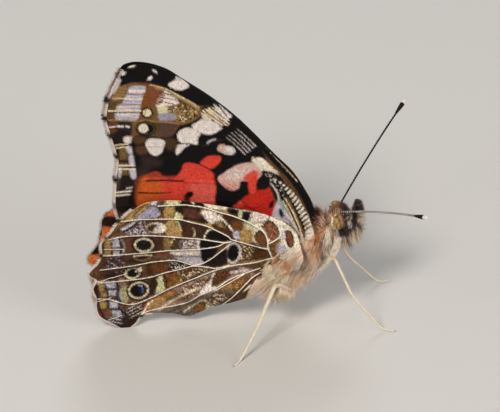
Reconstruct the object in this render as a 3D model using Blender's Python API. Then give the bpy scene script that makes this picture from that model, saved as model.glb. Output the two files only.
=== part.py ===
"""A life-size painted lady butterfly, standing at rest with its wings closed over its back.

+X points forward to the head, +Z up, and the insect's right side faces -Y. The origin lies on
the floor, under the middle of the whole butterfly. Places and sizes are in millimetres in the
code below, and become metres where a mesh is made.
"""

import math

import bmesh
import bpy
import numpy as np
from mathutils import Vector
from mathutils.geometry import delaunay_2d_cdt

MM = 0.001
RIGHT, LEFT = -1, 1
SIDES = (("right", RIGHT), ("left", LEFT))
GAP = 0.3  # between neighbouring parts
CENTRE_X = -0.30  # middle of the whole length, measured from the body's own zero

# Body sections from tail to neck: x, z, half width, half height.
THORAX = (
    (1.25, 5.80, 1.55, 1.60),
    (2.20, 6.35, 2.25, 2.20),
    (3.80, 7.55, 2.70, 2.55),
    (5.40, 9.25, 2.75, 2.65),
    (6.40, 10.50, 2.40, 2.35),
    (7.10, 11.25, 1.80, 1.80),
    (7.60, 11.70, 1.10, 1.15),
)
ABDOMEN = (
    (-10.80, 4.60, 0.40, 0.40),
    (-9.60, 4.70, 0.85, 0.85),
    (-7.60, 4.90, 1.25, 1.25),
    (-5.00, 5.10, 1.55, 1.55),
    (-2.40, 5.35, 1.72, 1.72),
    (-0.20, 5.60, 1.72, 1.72),
    (1.30, 5.85, 1.60, 1.60),
)
ABDOMEN_RINGS = 8
RING_DEPTH = 0.06

HEAD = Vector((8.80, 0.0, 12.50))
HEAD_RADII = (1.15, 1.25, 1.30)
EYE = Vector((8.60, 1.18, 12.62))
EYE_RADII = (0.72, 0.52, 1.05)

PALP = ((8.7, 0.50, 11.2), (9.5, 0.58, 10.8), (10.4, 0.54, 11.5), (11.0, 0.46, 13.0), (11.2, 0.42, 14.4))
PALP_RADII = (0.34, 0.44, 0.46, 0.36, 0.14)
PALP_FLATNESS = 0.85

ANTENNA_BASE = Vector((8.85, 0.42, 13.2))
ANTENNA_TIP = {RIGHT: Vector((18.0, 11.5, 19.2)), LEFT: Vector((17.0, 11.5, 19.2))}
ANTENNA_BOW = 0.35
ANTENNA_RADIUS = 0.25
CLUB_RADIUS = 0.42
CLUB_LENGTH = 3.0

# Legs, each a path from inside the thorax: hip, bend, knee, ankle, toe, end of the foot.
FOOT_HEIGHT = 0.17
MIDLEG = (
    (5.2, 1.0, 7.8), (6.3, 2.25, 7.0), (8.0, 2.8, 9.1), (9.75, 3.8, 4.35),
    (12.9, 4.6, FOOT_HEIGHT), (14.1, 4.85, FOOT_HEIGHT),
)
HINDLEG = (
    (3.0, 1.0, 6.2), (3.1, 2.7, 4.9), (1.5, 4.3, 7.0), (-0.85, 6.3, 2.75),
    (-2.9, 8.5, FOOT_HEIGHT), (-3.6, 9.4, FOOT_HEIGHT),
)
LEG_RADII = {"femur": (0.36, 0.27), "tibia": (0.25, 0.27), "tarsus": (0.25, 0.20)}
FORELEG = ((6.7, 1.0, 9.7), (7.5, 2.2, 8.3), (8.3, 2.05, 9.6), (8.55, 1.9, 10.6))
FORELEG_RADII = (0.36, 0.27, 0.25, 0.16)
BEND = 0.75  # straight length given up at each side of a rounded corner

# Wings. Each point is (behind, above) the wing's root, on the wing seen from its side.
PLATE = 0.25  # half the thickness of a wing
RIDGE_HEIGHT = 0.12
RIDGE_WIDTH = 0.30
FOREWING_ROOT = (5.70, 11.50)
HINDWING_ROOT = (3.30, 9.10)
FOREWING_OUTLINE = (
    (-0.4, 0.0), (-0.5, 1.2), (-0.4, 2.5), (0.0, 3.8), (1.3, 6.7), (3.3, 9.5), (6.5, 14.0), (9.2, 17.1),
    (11.9, 19.6), (14.1, 21.5), (16.5, 22.5), (18.4, 22.4), (19.4, 20.9), (20.3, 19.1), (20.9, 17.4),
    (21.1, 15.8), (20.9, 14.4), (20.5, 12.3), (20.2, 10.5), (20.5, 8.6), (20.7, 6.8), (20.9, 4.8),
    (20.6, 2.9), (19.5, 1.7), (14.0, 0.8), (7.0, -0.1), (2.0, -0.5), (0.2, -0.7),
)
HINDWING_OUTLINE = (
    (-1.3, 0.2), (-1.4, 1.4), (-1.0, 2.9), (-0.4, 3.9), (1.0, 4.6), (3.5, 5.7), (6.0, 6.4), (9.2, 7.3),
    (12.0, 7.9), (15.0, 7.9), (16.7, 7.0), (18.3, 5.5), (19.2, 4.2), (20.3, 2.9), (20.4, 1.2),
    (20.9, -0.2), (22.0, -1.7), (21.2, -2.6), (21.7, -3.7), (21.4, -5.0), (21.5, -6.2), (21.2, -7.4),
    (19.8, -8.5), (18.6, -9.3), (17.5, -8.6), (16.4, -7.4), (13.4, -7.6), (11.4, -8.1), (8.8, -7.0),
    (6.7, -6.4), (4.9, -5.3), (2.9, -3.2), (0.9, -1.4), (-0.5, -0.6),
)
FOREWING_VEINS = {
    "subcosta": ((0.3, 1.0), (1.3, 4.2), (3.0, 7.6), (5.6, 11.5), (8.4, 15.4), (10.4, 18.0)),
    "radius": ((0.4, 0.7), (1.6, 3.3), (3.3, 6.1), (5.1, 9.2), (7.0, 12.2)),
    "radius 1": ((5.1, 9.2), (7.4, 13.2), (9.6, 16.4), (12.0, 19.3)),
    "radius 3": ((7.0, 12.2), (8.1, 14.5), (10.1, 16.6), (12.2, 18.6), (14.8, 21.6)),
    "radius 4": ((10.1, 16.6), (12.4, 18.0), (15.0, 19.6), (18.4, 21.4)),
    "radius 5": ((12.4, 18.0), (14.3, 18.3), (17.0, 18.5), (19.9, 18.4)),
    "media 1": ((7.0, 12.2), (9.2, 13.1), (12.0, 14.1), (15.9, 15.3), (20.6, 15.8)),
    "media 2": ((7.8, 10.5), (9.9, 11.4), (13.6, 12.5), (16.8, 13.3), (20.4, 13.8)),
    "media 3": ((9.5, 6.8), (10.3, 8.5), (11.8, 9.5), (14.0, 10.1), (19.8, 10.9)),
    "cell end": ((7.0, 12.2), (7.8, 10.5), (8.8, 8.6), (9.5, 6.8)),
    "cubitus": ((0.4, 0.4), (2.0, 2.7), (3.6, 4.7), (5.2, 5.6), (7.4, 5.9), (9.5, 6.8)),
    "cubitus 1": ((9.5, 6.8), (12.0, 6.9), (15.5, 7.5), (20.1, 8.0)),
    "cubitus 2": ((4.2, 5.0), (5.7, 3.8), (8.2, 4.1), (13.0, 4.4), (20.3, 4.6)),
    "anal": ((0.5, 0.0), (3.0, 0.6), (8.0, 1.3), (14.0, 1.7), (20.0, 2.7)),
}
HINDWING_VEINS = {
    "subcosta": ((1.0, 0.1), (2.2, 1.6), (2.7, 3.2), (4.4, 4.6), (7.4, 5.9), (10.4, 6.8), (14.4, 7.1)),
    "humeral": ((2.2, 1.8), (1.2, 2.7), (0.6, 3.6)),
    "radial sector": ((2.2, 1.3), (4.1, 1.6), (6.2, 2.3), (8.9, 4.1), (11.9, 5.2), (14.9, 5.5), (17.4, 5.3)),
    "media 1": ((6.2, 2.1), (9.6, 2.4), (12.4, 3.0), (15.6, 3.4), (19.4, 3.2)),
    "media 2": ((6.2, 2.1), (8.4, 1.4), (12.0, 1.1), (16.0, 1.1), (20.0, 1.0)),
    "media 3": ((6.2, 2.1), (7.6, 0.6), (9.2, -0.6), (10.8, -0.9), (12.6, -0.2), (15.6, -0.2), (20.4, -0.9)),
    "cubitus 1": ((5.8, -1.0), (8.2, -1.3), (10.6, -1.0), (13.6, -1.7), (17.4, -2.4), (21.2, -2.0)),
    "cubitus 2": ((0.3, 0.1), (2.4, 0.0), (5.8, -1.0), (8.7, -1.9), (12.1, -3.3), (15.4, -4.9), (20.8, -5.1)),
    "anal 1": ((0.4, -0.2), (3.4, -1.4), (6.7, -3.0), (10.0, -4.9), (12.4, -6.2), (16.4, -7.0)),
    "anal 2": ((0.5, -0.5), (3.0, -1.7), (4.4, -2.9), (6.8, -5.5), (8.6, -6.7), (11.2, -7.5)),
}
# Turn about the root, in degrees. Positive lifts the tail end of the wing.
WING_TURN = {
    ("forewing", RIGHT): 0.0,
    ("forewing", LEFT): -1.0,
    ("hindwing", RIGHT): 0.0,
    ("hindwing", LEFT): 3.0,
}
MIDDLE_GAP = 0.52  # from the middle plane to the middle of a closed forewing
LAYER_STEP = 1.04  # from the middle of a forewing to the middle of the hindwing over it
LAYER_RAMP = 6.0  # the hindwing comes inward over this height, below the forewing's edge
ROOT_RAMP = 2.2
ROOT_PAD = 1.0
MARGIN_SPACING = 0.62
VEIN_SPACING = 1.35
FIELD_SPACING = 1.25
NEAR_BODY = 4.5  # the plate needs closer points where it curves round the body
NEAR_SPACING = 0.85
FAR_SPACING = 1.9
LEAST_SPACING = 0.19
BODY_CLEARANCE = 0.70
BULGE_SPREAD = 1.55  # in half heights of the body


def clear_scene():
    for obj in list(bpy.data.objects):
        bpy.data.objects.remove(obj)


def material(name, colour, roughness):
    made = bpy.data.materials.new(name)
    made.use_nodes = True
    shader = made.node_tree.nodes["Principled BSDF"]
    shader.inputs["Base Color"].default_value = (*colour, 1.0)
    shader.inputs["Roughness"].default_value = roughness
    shader.inputs["Metallic"].default_value = 0.0
    return made


def add_object(name, points, faces, finish, whole):
    """A closed mesh from points in millimetres, faces out, held by the empty at the origin."""
    mesh = bpy.data.meshes.new(name)
    mesh.from_pydata([Vector(p) * MM for p in points], [], faces)
    shape = bmesh.new()
    shape.from_mesh(mesh)
    bmesh.ops.recalc_face_normals(shape, faces=shape.faces)
    shape.to_mesh(mesh)
    shape.free()
    mesh.materials.append(finish)
    mesh.shade_smooth()
    mesh.set_sharp_from_angle(angle=math.radians(50))
    obj = bpy.data.objects.new(name, mesh)
    bpy.context.scene.collection.objects.link(obj)
    obj.parent = whole
    return obj


def hide_cutter(obj):
    obj.hide_render = True
    obj.display_type = "WIRE"
    return obj


def cut(obj, cutter):
    boolean = obj.modifiers.new("clear of its neighbour", "BOOLEAN")
    boolean.operation = "DIFFERENCE"
    boolean.object = cutter


def curve_through(points, spacing, closed=False):
    """Points about this far apart on a smooth curve through the given points."""
    given = np.array(points, float)
    count = len(given)
    spans = count if closed else count - 1
    fine = []
    for i in range(spans):
        if closed:
            before, start, end, after = (given[(i + k) % count] for k in (-1, 0, 1, 2))
        else:
            before, start, end, after = (given[min(max(i + k, 0), count - 1)] for k in (-1, 0, 1, 2))
        for t in np.linspace(0, 1, 16, endpoint=False):
            fine.append(
                0.5 * (2 * start + (end - before) * t + (2 * before - 5 * start + 4 * end - after) * t**2
                       + (3 * start - before - 3 * end + after) * t**3)
            )
    fine.append(given[0] if closed else given[-1])
    fine = np.array(fine)
    along = np.concatenate([[0], np.cumsum(np.linalg.norm(np.diff(fine, axis=0), axis=1))])
    steps = max(2, round(along[-1] / spacing))
    wanted = np.linspace(0, along[-1], steps + 1)
    sampled = np.stack([np.interp(wanted, along, fine[:, k]) for k in range(fine.shape[1])], axis=1)
    return sampled[:-1] if closed else sampled


def rings_along(path, radii, sides, flatness=1.0, phase=0.0):
    """Rings of points round a path. flatness scales the rings' width across the body."""
    path = np.array(path, float)
    tangents = np.gradient(path, axis=0)
    tangents /= np.linalg.norm(tangents, axis=1)[:, None]
    across = np.cross(tangents[0], (0.0, 0.0, 1.0))
    if np.linalg.norm(across) < 0.1:
        across = np.cross(tangents[0], (1.0, 0.0, 0.0))
    rings = []
    for centre, tangent, radius in zip(path, tangents, radii):
        across = across - tangent * np.dot(across, tangent)
        across /= np.linalg.norm(across)
        up = np.cross(tangent, across)
        wide, high = (radius if np.ndim(radius) else (radius * flatness, radius))
        ring = []
        for k in range(sides):
            angle = 2 * math.pi * (k + phase) / sides
            ring.append(centre + across * wide * math.cos(angle) + up * high * math.sin(angle))
        rings.append(ring)
    return rings


def loft(rings):
    """Points and faces of a closed body through rings that have the same number of points."""
    sides = len(rings[0])
    points = [p for ring in rings for p in ring]
    faces = []
    for r in range(len(rings) - 1):
        for k in range(sides):
            a, b = r * sides + k, r * sides + (k + 1) % sides
            faces.append((a, b, b + sides, a + sides))
    for first in (0, (len(rings) - 1) * sides):
        centre = len(points)
        points.append(np.mean(points[first:first + sides], axis=0))
        faces += [(first + k, first + (k + 1) % sides, centre) for k in range(sides)]
    return points, faces


def eased(values, at):
    """Values given at even steps from 0 to 1, read at any place between them."""
    return np.interp(at, np.linspace(0, 1, len(values)), values)


def body_rings(sections, spacing, sides, grow=0.0, grooves=0):
    table = curve_through(sections, spacing)
    along = np.linspace(0, 1, len(table))
    rings = []
    path = [(x, 0.0, z) for x, z in table[:, :2]]
    radii = []
    for s, (wide, high) in zip(along, table[:, 2:]):
        groove = RING_DEPTH * math.cos(2 * math.pi * grooves * s) if grooves else 0.0
        radii.append((wide + grow + groove, high + grow + groove))
    rings = rings_along(path, radii, sides)
    if grow:
        for end, inner in ((0, 1), (-1, -2)):
            shift = np.mean(rings[end], axis=0) - np.mean(rings[inner], axis=0)
            shift *= grow / np.linalg.norm(shift)
            rings[end] = [p + shift for p in rings[end]]
    return rings


def ellipsoid(name, centre, radii, finish, whole, segments=20, rings=12):
    shape = bmesh.new()
    bmesh.ops.create_uvsphere(shape, u_segments=segments, v_segments=rings, radius=1.0)
    points = [tuple(c + r * q for c, r, q in zip(centre, radii, v.co)) for v in shape.verts]
    faces = [tuple(v.index for v in face.verts) for face in shape.faces]
    shape.free()
    return add_object(name, points, faces, finish, whole)


def body_distance(x, z):
    """Distance from the body's axis in side view, with the half width and half height there."""
    best = (1e9, 0.0, 0.0)
    stations = ABDOMEN + THORAX
    for (x0, z0, w0, h0), (x1, z1, w1, h1) in zip(stations, stations[1:]):
        run = (x1 - x0) ** 2 + (z1 - z0) ** 2
        t = min(1.0, max(0.0, ((x - x0) * (x1 - x0) + (z - z0) * (z1 - z0)) / run))
        away = math.hypot(x - x0 - t * (x1 - x0), z - z0 - t * (z1 - z0))
        if away < best[0]:
            best = (away, w0 + t * (w1 - w0), h0 + t * (h1 - h0))
    return best


def forewing_lower_edge(x):
    return FOREWING_ROOT[1] + 0.085 * (FOREWING_ROOT[0] - x) - 0.8


def wing_lateral(kind, x, z):
    """How far from the middle plane the middle of a closed wing lies, at a place in side view."""
    away, wide, high = body_distance(x, z)
    bulge = (wide + BODY_CLEARANCE) * math.exp(-((away / (BULGE_SPREAD * high)) ** 2))
    lateral = math.hypot(MIDDLE_GAP, bulge)
    if kind == "hindwing":
        from_root = math.hypot(x - HINDWING_ROOT[0], z - HINDWING_ROOT[1])
        ramp = min(LAYER_RAMP, ROOT_RAMP + 0.25 * from_root)
        t = min(1.0, max(0.0, (z - forewing_lower_edge(x) + ramp) / ramp))
        lateral += LAYER_STEP * t * t * (3 - 2 * t)
    return lateral


def wing_root_pad(x, z, root, lateral):
    """Extra thickness inward at the wing's root, so that the root meets the side of the thorax."""
    away, wide, high = body_distance(x, z)
    side = wide * math.sqrt(max(0.0, 1 - (away / high) ** 2))
    room = max(0.0, lateral - PLATE - side - GAP - 0.02)
    distance = math.hypot(x - root[0], z - root[1])
    return room * math.exp(-((distance / ROOT_PAD) ** 2))


def turned(points, root, degrees):
    """(behind, above) pairs as (x, z), turned about the root and kept above the floor."""
    c, s = math.cos(math.radians(degrees)), math.sin(math.radians(degrees))
    made = []
    for behind, above in points:
        x, z = root[0] - behind * c + above * s, root[1] + behind * s + above * c
        made.append((x, max(z, 0.0)))
    return np.array(made)


def distance_to_lines(point, lines):
    best = 1e9
    for line in lines:
        starts, ends = line[:-1], line[1:]
        runs = ends - starts
        t = np.clip(np.einsum("ij,ij->i", point - starts, runs) / np.einsum("ij,ij->i", runs, runs), 0, 1)
        best = min(best, np.linalg.norm(point - starts - runs * t[:, None], axis=1).min())
    return best


def inside(point, outline):
    x, z = point
    within = False
    for (x0, z0), (x1, z1) in zip(outline, np.roll(outline, -1, axis=0)):
        if (z0 > z) != (z1 > z) and x < (x1 - x0) * (z - z0) / (z1 - z0) + x0:
            within = not within
    return within


def wing_layout(outline, veins):
    """A flat triangulation of the wing, with points along the crest and the foot of each vein."""
    rim = np.vstack([outline, outline[:1]])
    points = list(outline)
    crest_edges = []
    lines = [curve_through(line, VEIN_SPACING) for line in veins]

    def keep(point, least):
        near = min(math.dist(point, p) for p in points) < least
        if near or not inside(point, outline) or distance_to_lines(point, [rim]) < LEAST_SPACING:
            return None
        points.append(point)
        return len(points) - 1

    def shared(point):
        for k in range(len(outline), len(points)):
            if math.dist(point, points[k]) < LEAST_SPACING:
                return k
        return keep(point, LEAST_SPACING)

    for line in lines:
        last = None
        for point in line:
            index = shared(point)
            if last is not None and index is not None and index != last:
                crest_edges.append((last, index))
            last = index
    for line in lines:
        directions = np.gradient(line, axis=0)
        directions /= np.linalg.norm(directions, axis=1)[:, None]
        for point, (dx, dz) in zip(line, directions):
            for way in (-1, 1):
                foot = point + way * RIDGE_WIDTH * np.array((-dz, dx))
                if distance_to_lines(foot, lines) > 0.9 * RIDGE_WIDTH:
                    keep(foot, LEAST_SPACING)
    low, high = outline.min(axis=0), outline.max(axis=0)
    for row, z in enumerate(np.arange(low[1], high[1], FIELD_SPACING)):
        for x in np.arange(low[0] + FIELD_SPACING * (row % 2) / 2, high[0], FIELD_SPACING):
            near = body_distance(x, z)[0] < NEAR_BODY
            keep(np.array((x, z)), NEAR_SPACING if near else FAR_SPACING)
    loop = list(range(len(outline)))
    flat = [Vector(p) for p in points]
    found = delaunay_2d_cdt(flat, crest_edges, [loop], 1, 1e-5, True)
    return np.array([tuple(v) for v in found[0]]), [tuple(f) for f in found[2]], lines


def wing(name, kind, side, finish, whole):
    """A wing as one thin plate that curves round the body, its main veins raised on both faces."""
    fore = kind == "forewing"
    root = FOREWING_ROOT if fore else HINDWING_ROOT
    turn = WING_TURN[kind, side]
    outline = turned(curve_through(FOREWING_OUTLINE if fore else HINDWING_OUTLINE, MARGIN_SPACING, True), root, turn)
    veins = FOREWING_VEINS if fore else HINDWING_VEINS
    flat, triangles, lines = wing_layout(outline, [turned(v, root, turn) for v in veins.values()])
    outer, inner = [], []
    for x, z in flat:
        lateral = wing_lateral(kind, x, z)
        away = distance_to_lines(np.array((x, z)), lines)
        ridge = RIDGE_HEIGHT * max(0.0, 1 - away / RIDGE_WIDTH)
        pad = wing_root_pad(x, z, root, lateral)
        outer.append((x, side * (lateral + PLATE + ridge), z))
        inner.append((x, side * (lateral - PLATE - ridge - pad), z))
    count = len(flat)
    faces = list(triangles) + [tuple(count + v for v in reversed(face)) for face in triangles]
    used = {}
    for face in triangles:
        for a, b in zip(face, face[1:] + face[:1]):
            used[frozenset((a, b))] = None if frozenset((a, b)) in used else (a, b)
    for edge in used.values():
        if edge:
            a, b = edge
            faces.append((b, a, count + a, count + b))
    return add_object(name, outer + inner, faces, finish, whole)


def rounded_pieces(corners):
    """A path with rounded corners, parted in the middle of each corner."""
    corners = [np.array(c, float) for c in corners]
    pieces, piece = [], [corners[0]]
    for before, corner, after in zip(corners, corners[1:], corners[2:]):
        back, on = before - corner, after - corner
        start = corner + back * min(BEND / np.linalg.norm(back), 0.45)
        end = corner + on * min(BEND / np.linalg.norm(on), 0.45)
        arc = [(1 - t) ** 2 * start + 2 * t * (1 - t) * corner + t * t * end for t in np.linspace(0, 1, 9)]
        piece += arc[:5]
        pieces.append(piece)
        piece = arc[4:]
    piece.append(corners[-1])
    pieces.append(piece)
    return pieces


def trimmed(path, start, end):
    """The path with these lengths taken off its two ends."""
    path = np.array(path)
    along = np.concatenate([[0], np.cumsum(np.linalg.norm(np.diff(path, axis=0), axis=1))])
    inner = along[(along > start + 0.05) & (along < along[-1] - end - 0.05)]
    wanted = np.concatenate([[start], inner, [along[-1] - end]])
    return np.stack([np.interp(wanted, along, path[:, k]) for k in range(3)], axis=1)


def on_side(path, side):
    return [(x, side * y, z) for x, y, z in path]


def walking_leg(name, corners, side, sides, finish, whole, cutter):
    """Femur, tibia and tarsus of one leg, parted by thin cuts at the knee and the ankle."""
    first, second, third, fourth, fifth = rounded_pieces(corners)
    paths = {"femur": first + second[1:], "tibia": third, "tarsus": fourth + fifth[1:]}
    for piece, path in paths.items():
        start = 0.0 if piece == "femur" else GAP / 2
        end = 0.0 if piece == "tarsus" else GAP / 2
        path = trimmed(on_side(path, side), start, end)
        radii = eased(LEG_RADII[piece], np.linspace(0, 1, len(path)))
        points, faces = loft(rings_along(path, radii, sides))
        if piece == "tarsus":
            points = [(x, y, max(z, 0.0)) for x, y, z in points]
        obj = add_object(f"{name}_{piece}", points, faces, finish, whole)
        if piece == "femur":
            cut(obj, cutter)


def main():
    clear_scene()
    whole = bpy.data.objects.new("butterfly", None)
    whole.location = (-CENTRE_X * MM, 0, 0)
    bpy.context.scene.collection.objects.link(whole)

    fur = material("thorax fur", (0.30, 0.20, 0.12), 0.9)
    abdomen_scales = material("abdomen scales", (0.32, 0.22, 0.13), 0.85)
    face = material("face scales", (0.27, 0.14, 0.09), 0.9)
    eye = material("eye", (0.16, 0.14, 0.05), 0.3)
    horn = material("antenna", (0.02, 0.018, 0.016), 0.6)
    legs = material("leg scales", (0.72, 0.60, 0.42), 0.7)
    fore = material("forewing scales", (0.45, 0.16, 0.09), 0.75)
    hind = material("hindwing scales", (0.33, 0.25, 0.17), 0.75)

    add_object("thorax", *loft(body_rings(THORAX, 0.75, 20)), fur, whole)
    round_thorax = add_object("round the thorax", *loft(body_rings(THORAX, 0.75, 20, GAP)), fur, whole)
    hide_cutter(round_thorax)
    rings = body_rings(ABDOMEN, 0.36, 16, grooves=ABDOMEN_RINGS)
    cut(add_object("abdomen", *loft(rings), abdomen_scales, whole), round_thorax)
    head = ellipsoid("head", HEAD, HEAD_RADII, face, whole)
    round_head = ellipsoid("round the head", HEAD, [r + GAP for r in HEAD_RADII], face, whole)
    hide_cutter(round_head)

    for word, side in SIDES:
        eye_centre = (EYE.x, side * EYE.y, EYE.z)
        ellipsoid(f"eye_{word}", eye_centre, EYE_RADII, eye, whole, 18, 12)
        socket = ellipsoid(f"socket {word}", eye_centre, [r + GAP for r in EYE_RADII], face, whole, 18, 12)
        cut(head, hide_cutter(socket))

        path = curve_through(on_side(PALP, side), 0.55)
        radii = eased(PALP_RADII, np.linspace(0, 1, len(path)))
        palp = add_object(f"palp_{word}", *loft(rings_along(path, radii, 10, PALP_FLATNESS)), face, whole)
        cut(palp, round_head)

        tip = ANTENNA_TIP[side]
        middle = (ANTENNA_BASE + tip) / 2 + Vector((0.0, 0.0, ANTENNA_BOW))
        route = on_side((ANTENNA_BASE, middle, tip), side)
        path = curve_through(route, 0.8)
        left_to_tip = np.linalg.norm(path - path[-1], axis=1)
        swelling = np.clip(1 - left_to_tip / CLUB_LENGTH, 0, 1)
        radii = ANTENNA_RADIUS + (CLUB_RADIUS - ANTENNA_RADIUS) * np.sin(math.pi * np.minimum(swelling * 1.15, 1)) ** 0.8
        radii[-1] = 0.15
        antenna = add_object(f"antenna_{word}", *loft(rings_along(path, radii, 10)), horn, whole)
        cut(antenna, round_head)

        for kind, finish in (("forewing", fore), ("hindwing", hind)):
            wing(f"{kind}_{word}", kind, side, finish, whole)

        walking_leg(f"midleg_{word}", MIDLEG, side, 10, legs, whole, round_thorax)
        walking_leg(f"hindleg_{word}", HINDLEG, side, 10, legs, whole, round_thorax)
        path = curve_through(on_side(FORELEG, side), 0.5)
        radii = eased(FORELEG_RADII, np.linspace(0, 1, len(path)))
        foreleg = add_object(f"foreleg_{word}", *loft(rings_along(path, radii, 8)), legs, whole)
        cut(foreleg, round_thorax)


main()
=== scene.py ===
# %% [markdown]
# # A painted lady at rest
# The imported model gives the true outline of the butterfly: body, wings, feelers and legs, each
# in its place. This script keeps that frame and dresses it. The wings become fine thin plates
# that carry the scale pattern, the body gets one skin with a coat of hair, and the eyes, palps,
# feelers, tongue and legs get their small forms.

# %% The frame
import math

import bmesh
import bpy
import numpy as np
from mathutils import Matrix, Vector


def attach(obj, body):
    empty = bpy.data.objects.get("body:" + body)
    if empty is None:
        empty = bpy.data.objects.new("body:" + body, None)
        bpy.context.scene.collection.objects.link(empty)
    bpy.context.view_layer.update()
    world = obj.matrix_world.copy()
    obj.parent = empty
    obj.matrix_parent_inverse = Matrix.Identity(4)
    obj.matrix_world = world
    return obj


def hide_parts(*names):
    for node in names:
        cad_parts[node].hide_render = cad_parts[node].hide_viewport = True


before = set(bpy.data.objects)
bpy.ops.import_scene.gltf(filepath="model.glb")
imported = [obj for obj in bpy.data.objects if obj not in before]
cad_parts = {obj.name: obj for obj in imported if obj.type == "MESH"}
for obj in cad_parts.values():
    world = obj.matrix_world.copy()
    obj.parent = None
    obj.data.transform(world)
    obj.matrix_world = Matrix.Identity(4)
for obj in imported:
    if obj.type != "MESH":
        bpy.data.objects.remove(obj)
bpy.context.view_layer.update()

# %% [markdown]
# ## Sizes
# Places are in millimetres in the body's own measure, with x forward, z up and the right side
# at negative y. The middle of the whole length lies a little behind the body's zero, so each
# mesh is moved by that much when it is made, and becomes metres there.

# %% Sizes shared with the solids
MM = 0.001
RIGHT, LEFT = -1, 1
SIDES = (("right", RIGHT), ("left", LEFT))
CENTRE_X = -0.30

THORAX = (
    (1.25, 5.80, 1.55, 1.60),
    (2.20, 6.35, 2.25, 2.20),
    (3.80, 7.55, 2.70, 2.55),
    (5.40, 9.25, 2.75, 2.65),
    (6.40, 10.50, 2.40, 2.35),
    (7.10, 11.25, 1.80, 1.80),
    (7.60, 11.70, 1.10, 1.15),
)
ABDOMEN = (
    (-10.80, 4.60, 0.40, 0.40),
    (-9.60, 4.70, 0.85, 0.85),
    (-7.60, 4.90, 1.25, 1.25),
    (-5.00, 5.10, 1.55, 1.55),
    (-2.40, 5.35, 1.72, 1.72),
    (-0.20, 5.60, 1.72, 1.72),
    (1.30, 5.85, 1.60, 1.60),
)
FOREWING_ROOT = (5.70, 11.50)
HINDWING_ROOT = (3.30, 9.10)
FOREWING_OUTLINE = (
    (-0.4, 0.0), (-0.5, 1.2), (-0.4, 2.5), (0.0, 3.8), (1.3, 6.7), (3.3, 9.5), (6.5, 14.0), (9.2, 17.1),
    (11.9, 19.6), (14.1, 21.5), (16.5, 22.5), (18.4, 22.4), (19.4, 20.9), (20.3, 19.1), (20.9, 17.4),
    (21.1, 15.8), (20.9, 14.4), (20.5, 12.3), (20.2, 10.5), (20.5, 8.6), (20.7, 6.8), (20.9, 4.8),
    (20.6, 2.9), (19.5, 1.7), (14.0, 0.8), (7.0, -0.1), (2.0, -0.5), (0.2, -0.7),
)
HINDWING_OUTLINE = (
    (-1.3, 0.2), (-1.4, 1.4), (-1.0, 2.9), (-0.4, 3.9), (1.0, 4.6), (3.5, 5.7), (6.0, 6.4), (9.2, 7.3),
    (12.0, 7.9), (15.0, 7.9), (16.7, 7.0), (18.3, 5.5), (19.2, 4.2), (20.3, 2.9), (20.4, 1.2),
    (20.9, -0.2), (22.0, -1.7), (21.2, -2.6), (21.7, -3.7), (21.4, -5.0), (21.5, -6.2), (21.2, -7.4),
    (19.8, -8.5), (18.6, -9.3), (17.5, -8.6), (16.4, -7.4), (13.4, -7.6), (11.4, -8.1), (8.8, -7.0),
    (6.7, -6.4), (4.9, -5.3), (2.9, -3.2), (0.9, -1.4), (-0.5, -0.6),
)
WING_TURN = {
    ("forewing", RIGHT): 0.0,
    ("forewing", LEFT): -1.0,
    ("hindwing", RIGHT): 0.0,
    ("hindwing", LEFT): 3.0,
}
MIDDLE_GAP = 0.52
LAYER_STEP = 1.04
LAYER_RAMP = 6.0
ROOT_RAMP = 2.2
BODY_CLEARANCE = 0.70
BULGE_SPREAD = 1.55
WING_THICKNESS = 0.20

# %% [markdown]
# ## The camera
# The photo looks at the right side from above, 34 degrees over the floor, with the picture
# turned by 4 degrees. A long lens from 0.7 metres gives its gentle perspective. The same numbers
# work as a formula, so that a place on a wing can be told in pixels of the photo.

# %% Camera
ELEVATION = math.radians(34)
ROLL = math.radians(4)
PIXELS_PER_MM = 9.2
DISTANCE = 700.0
PHOTO_SIZE = (500, 412)
PHOTO_CENTRE = (250.0, 206.0)
AIM = (-6.3 / PIXELS_PER_MM, 0.0, 110.9 / (PIXELS_PER_MM * math.cos(ELEVATION)))
AHEAD = np.array((0.0, math.cos(ELEVATION), -math.sin(ELEVATION)))
UPRIGHT = np.array((0.0, math.sin(ELEVATION), math.cos(ELEVATION)))
ACROSS = np.array((1.0, 0.0, 0.0))
PICTURE_RIGHT = math.cos(ROLL) * ACROSS - math.sin(ROLL) * UPRIGHT
PICTURE_UP = math.sin(ROLL) * ACROSS + math.cos(ROLL) * UPRIGHT
EYE_POINT = np.array(AIM) - DISTANCE * AHEAD


def in_photo(points):
    """Pixel places, in the photo, of points given in body millimetres."""
    seen = np.asarray(points, float) - EYE_POINT
    scale = PIXELS_PER_MM * DISTANCE / (seen @ AHEAD)
    return PHOTO_CENTRE[0] + scale * (seen @ PICTURE_RIGHT), PHOTO_CENTRE[1] - scale * (seen @ PICTURE_UP)


bpy.ops.object.select_all(action="DESELECT")
bpy.ops.object.camera_add()
camera = bpy.context.object
camera.name = "camera"
camera.data.sensor_width = 36.0
camera.data.lens = 36.0 * DISTANCE * PIXELS_PER_MM / PHOTO_SIZE[0]
camera.data.clip_start = 0.01
turn = np.column_stack((PICTURE_RIGHT, PICTURE_UP, -AHEAD))
place = (EYE_POINT - np.array((CENTRE_X, 0, 0))) * MM
camera.matrix_world = Matrix([(*turn[k], place[k]) for k in range(3)] + [(0, 0, 0, 1)])
bpy.context.scene.camera = camera
print("lens", round(camera.data.lens, 1), "mm")

# %% [markdown]
# ## Floor and light
# The butterfly stands on a plain pale floor under soft studio lamps: a large key lamp high on
# the camera's left, a wide one in front, and a cool one behind that draws the wings' edges.

# %% Floor and light
def linear(red, green, blue):
    """A colour given on the usual 0 to 255 scale, as the linear values that Blender uses."""
    channels = [c / 255 for c in (red, green, blue)]
    return tuple(c / 12.92 if c <= 0.04045 else ((c + 0.055) / 1.055) ** 2.4 for c in channels)


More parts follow.
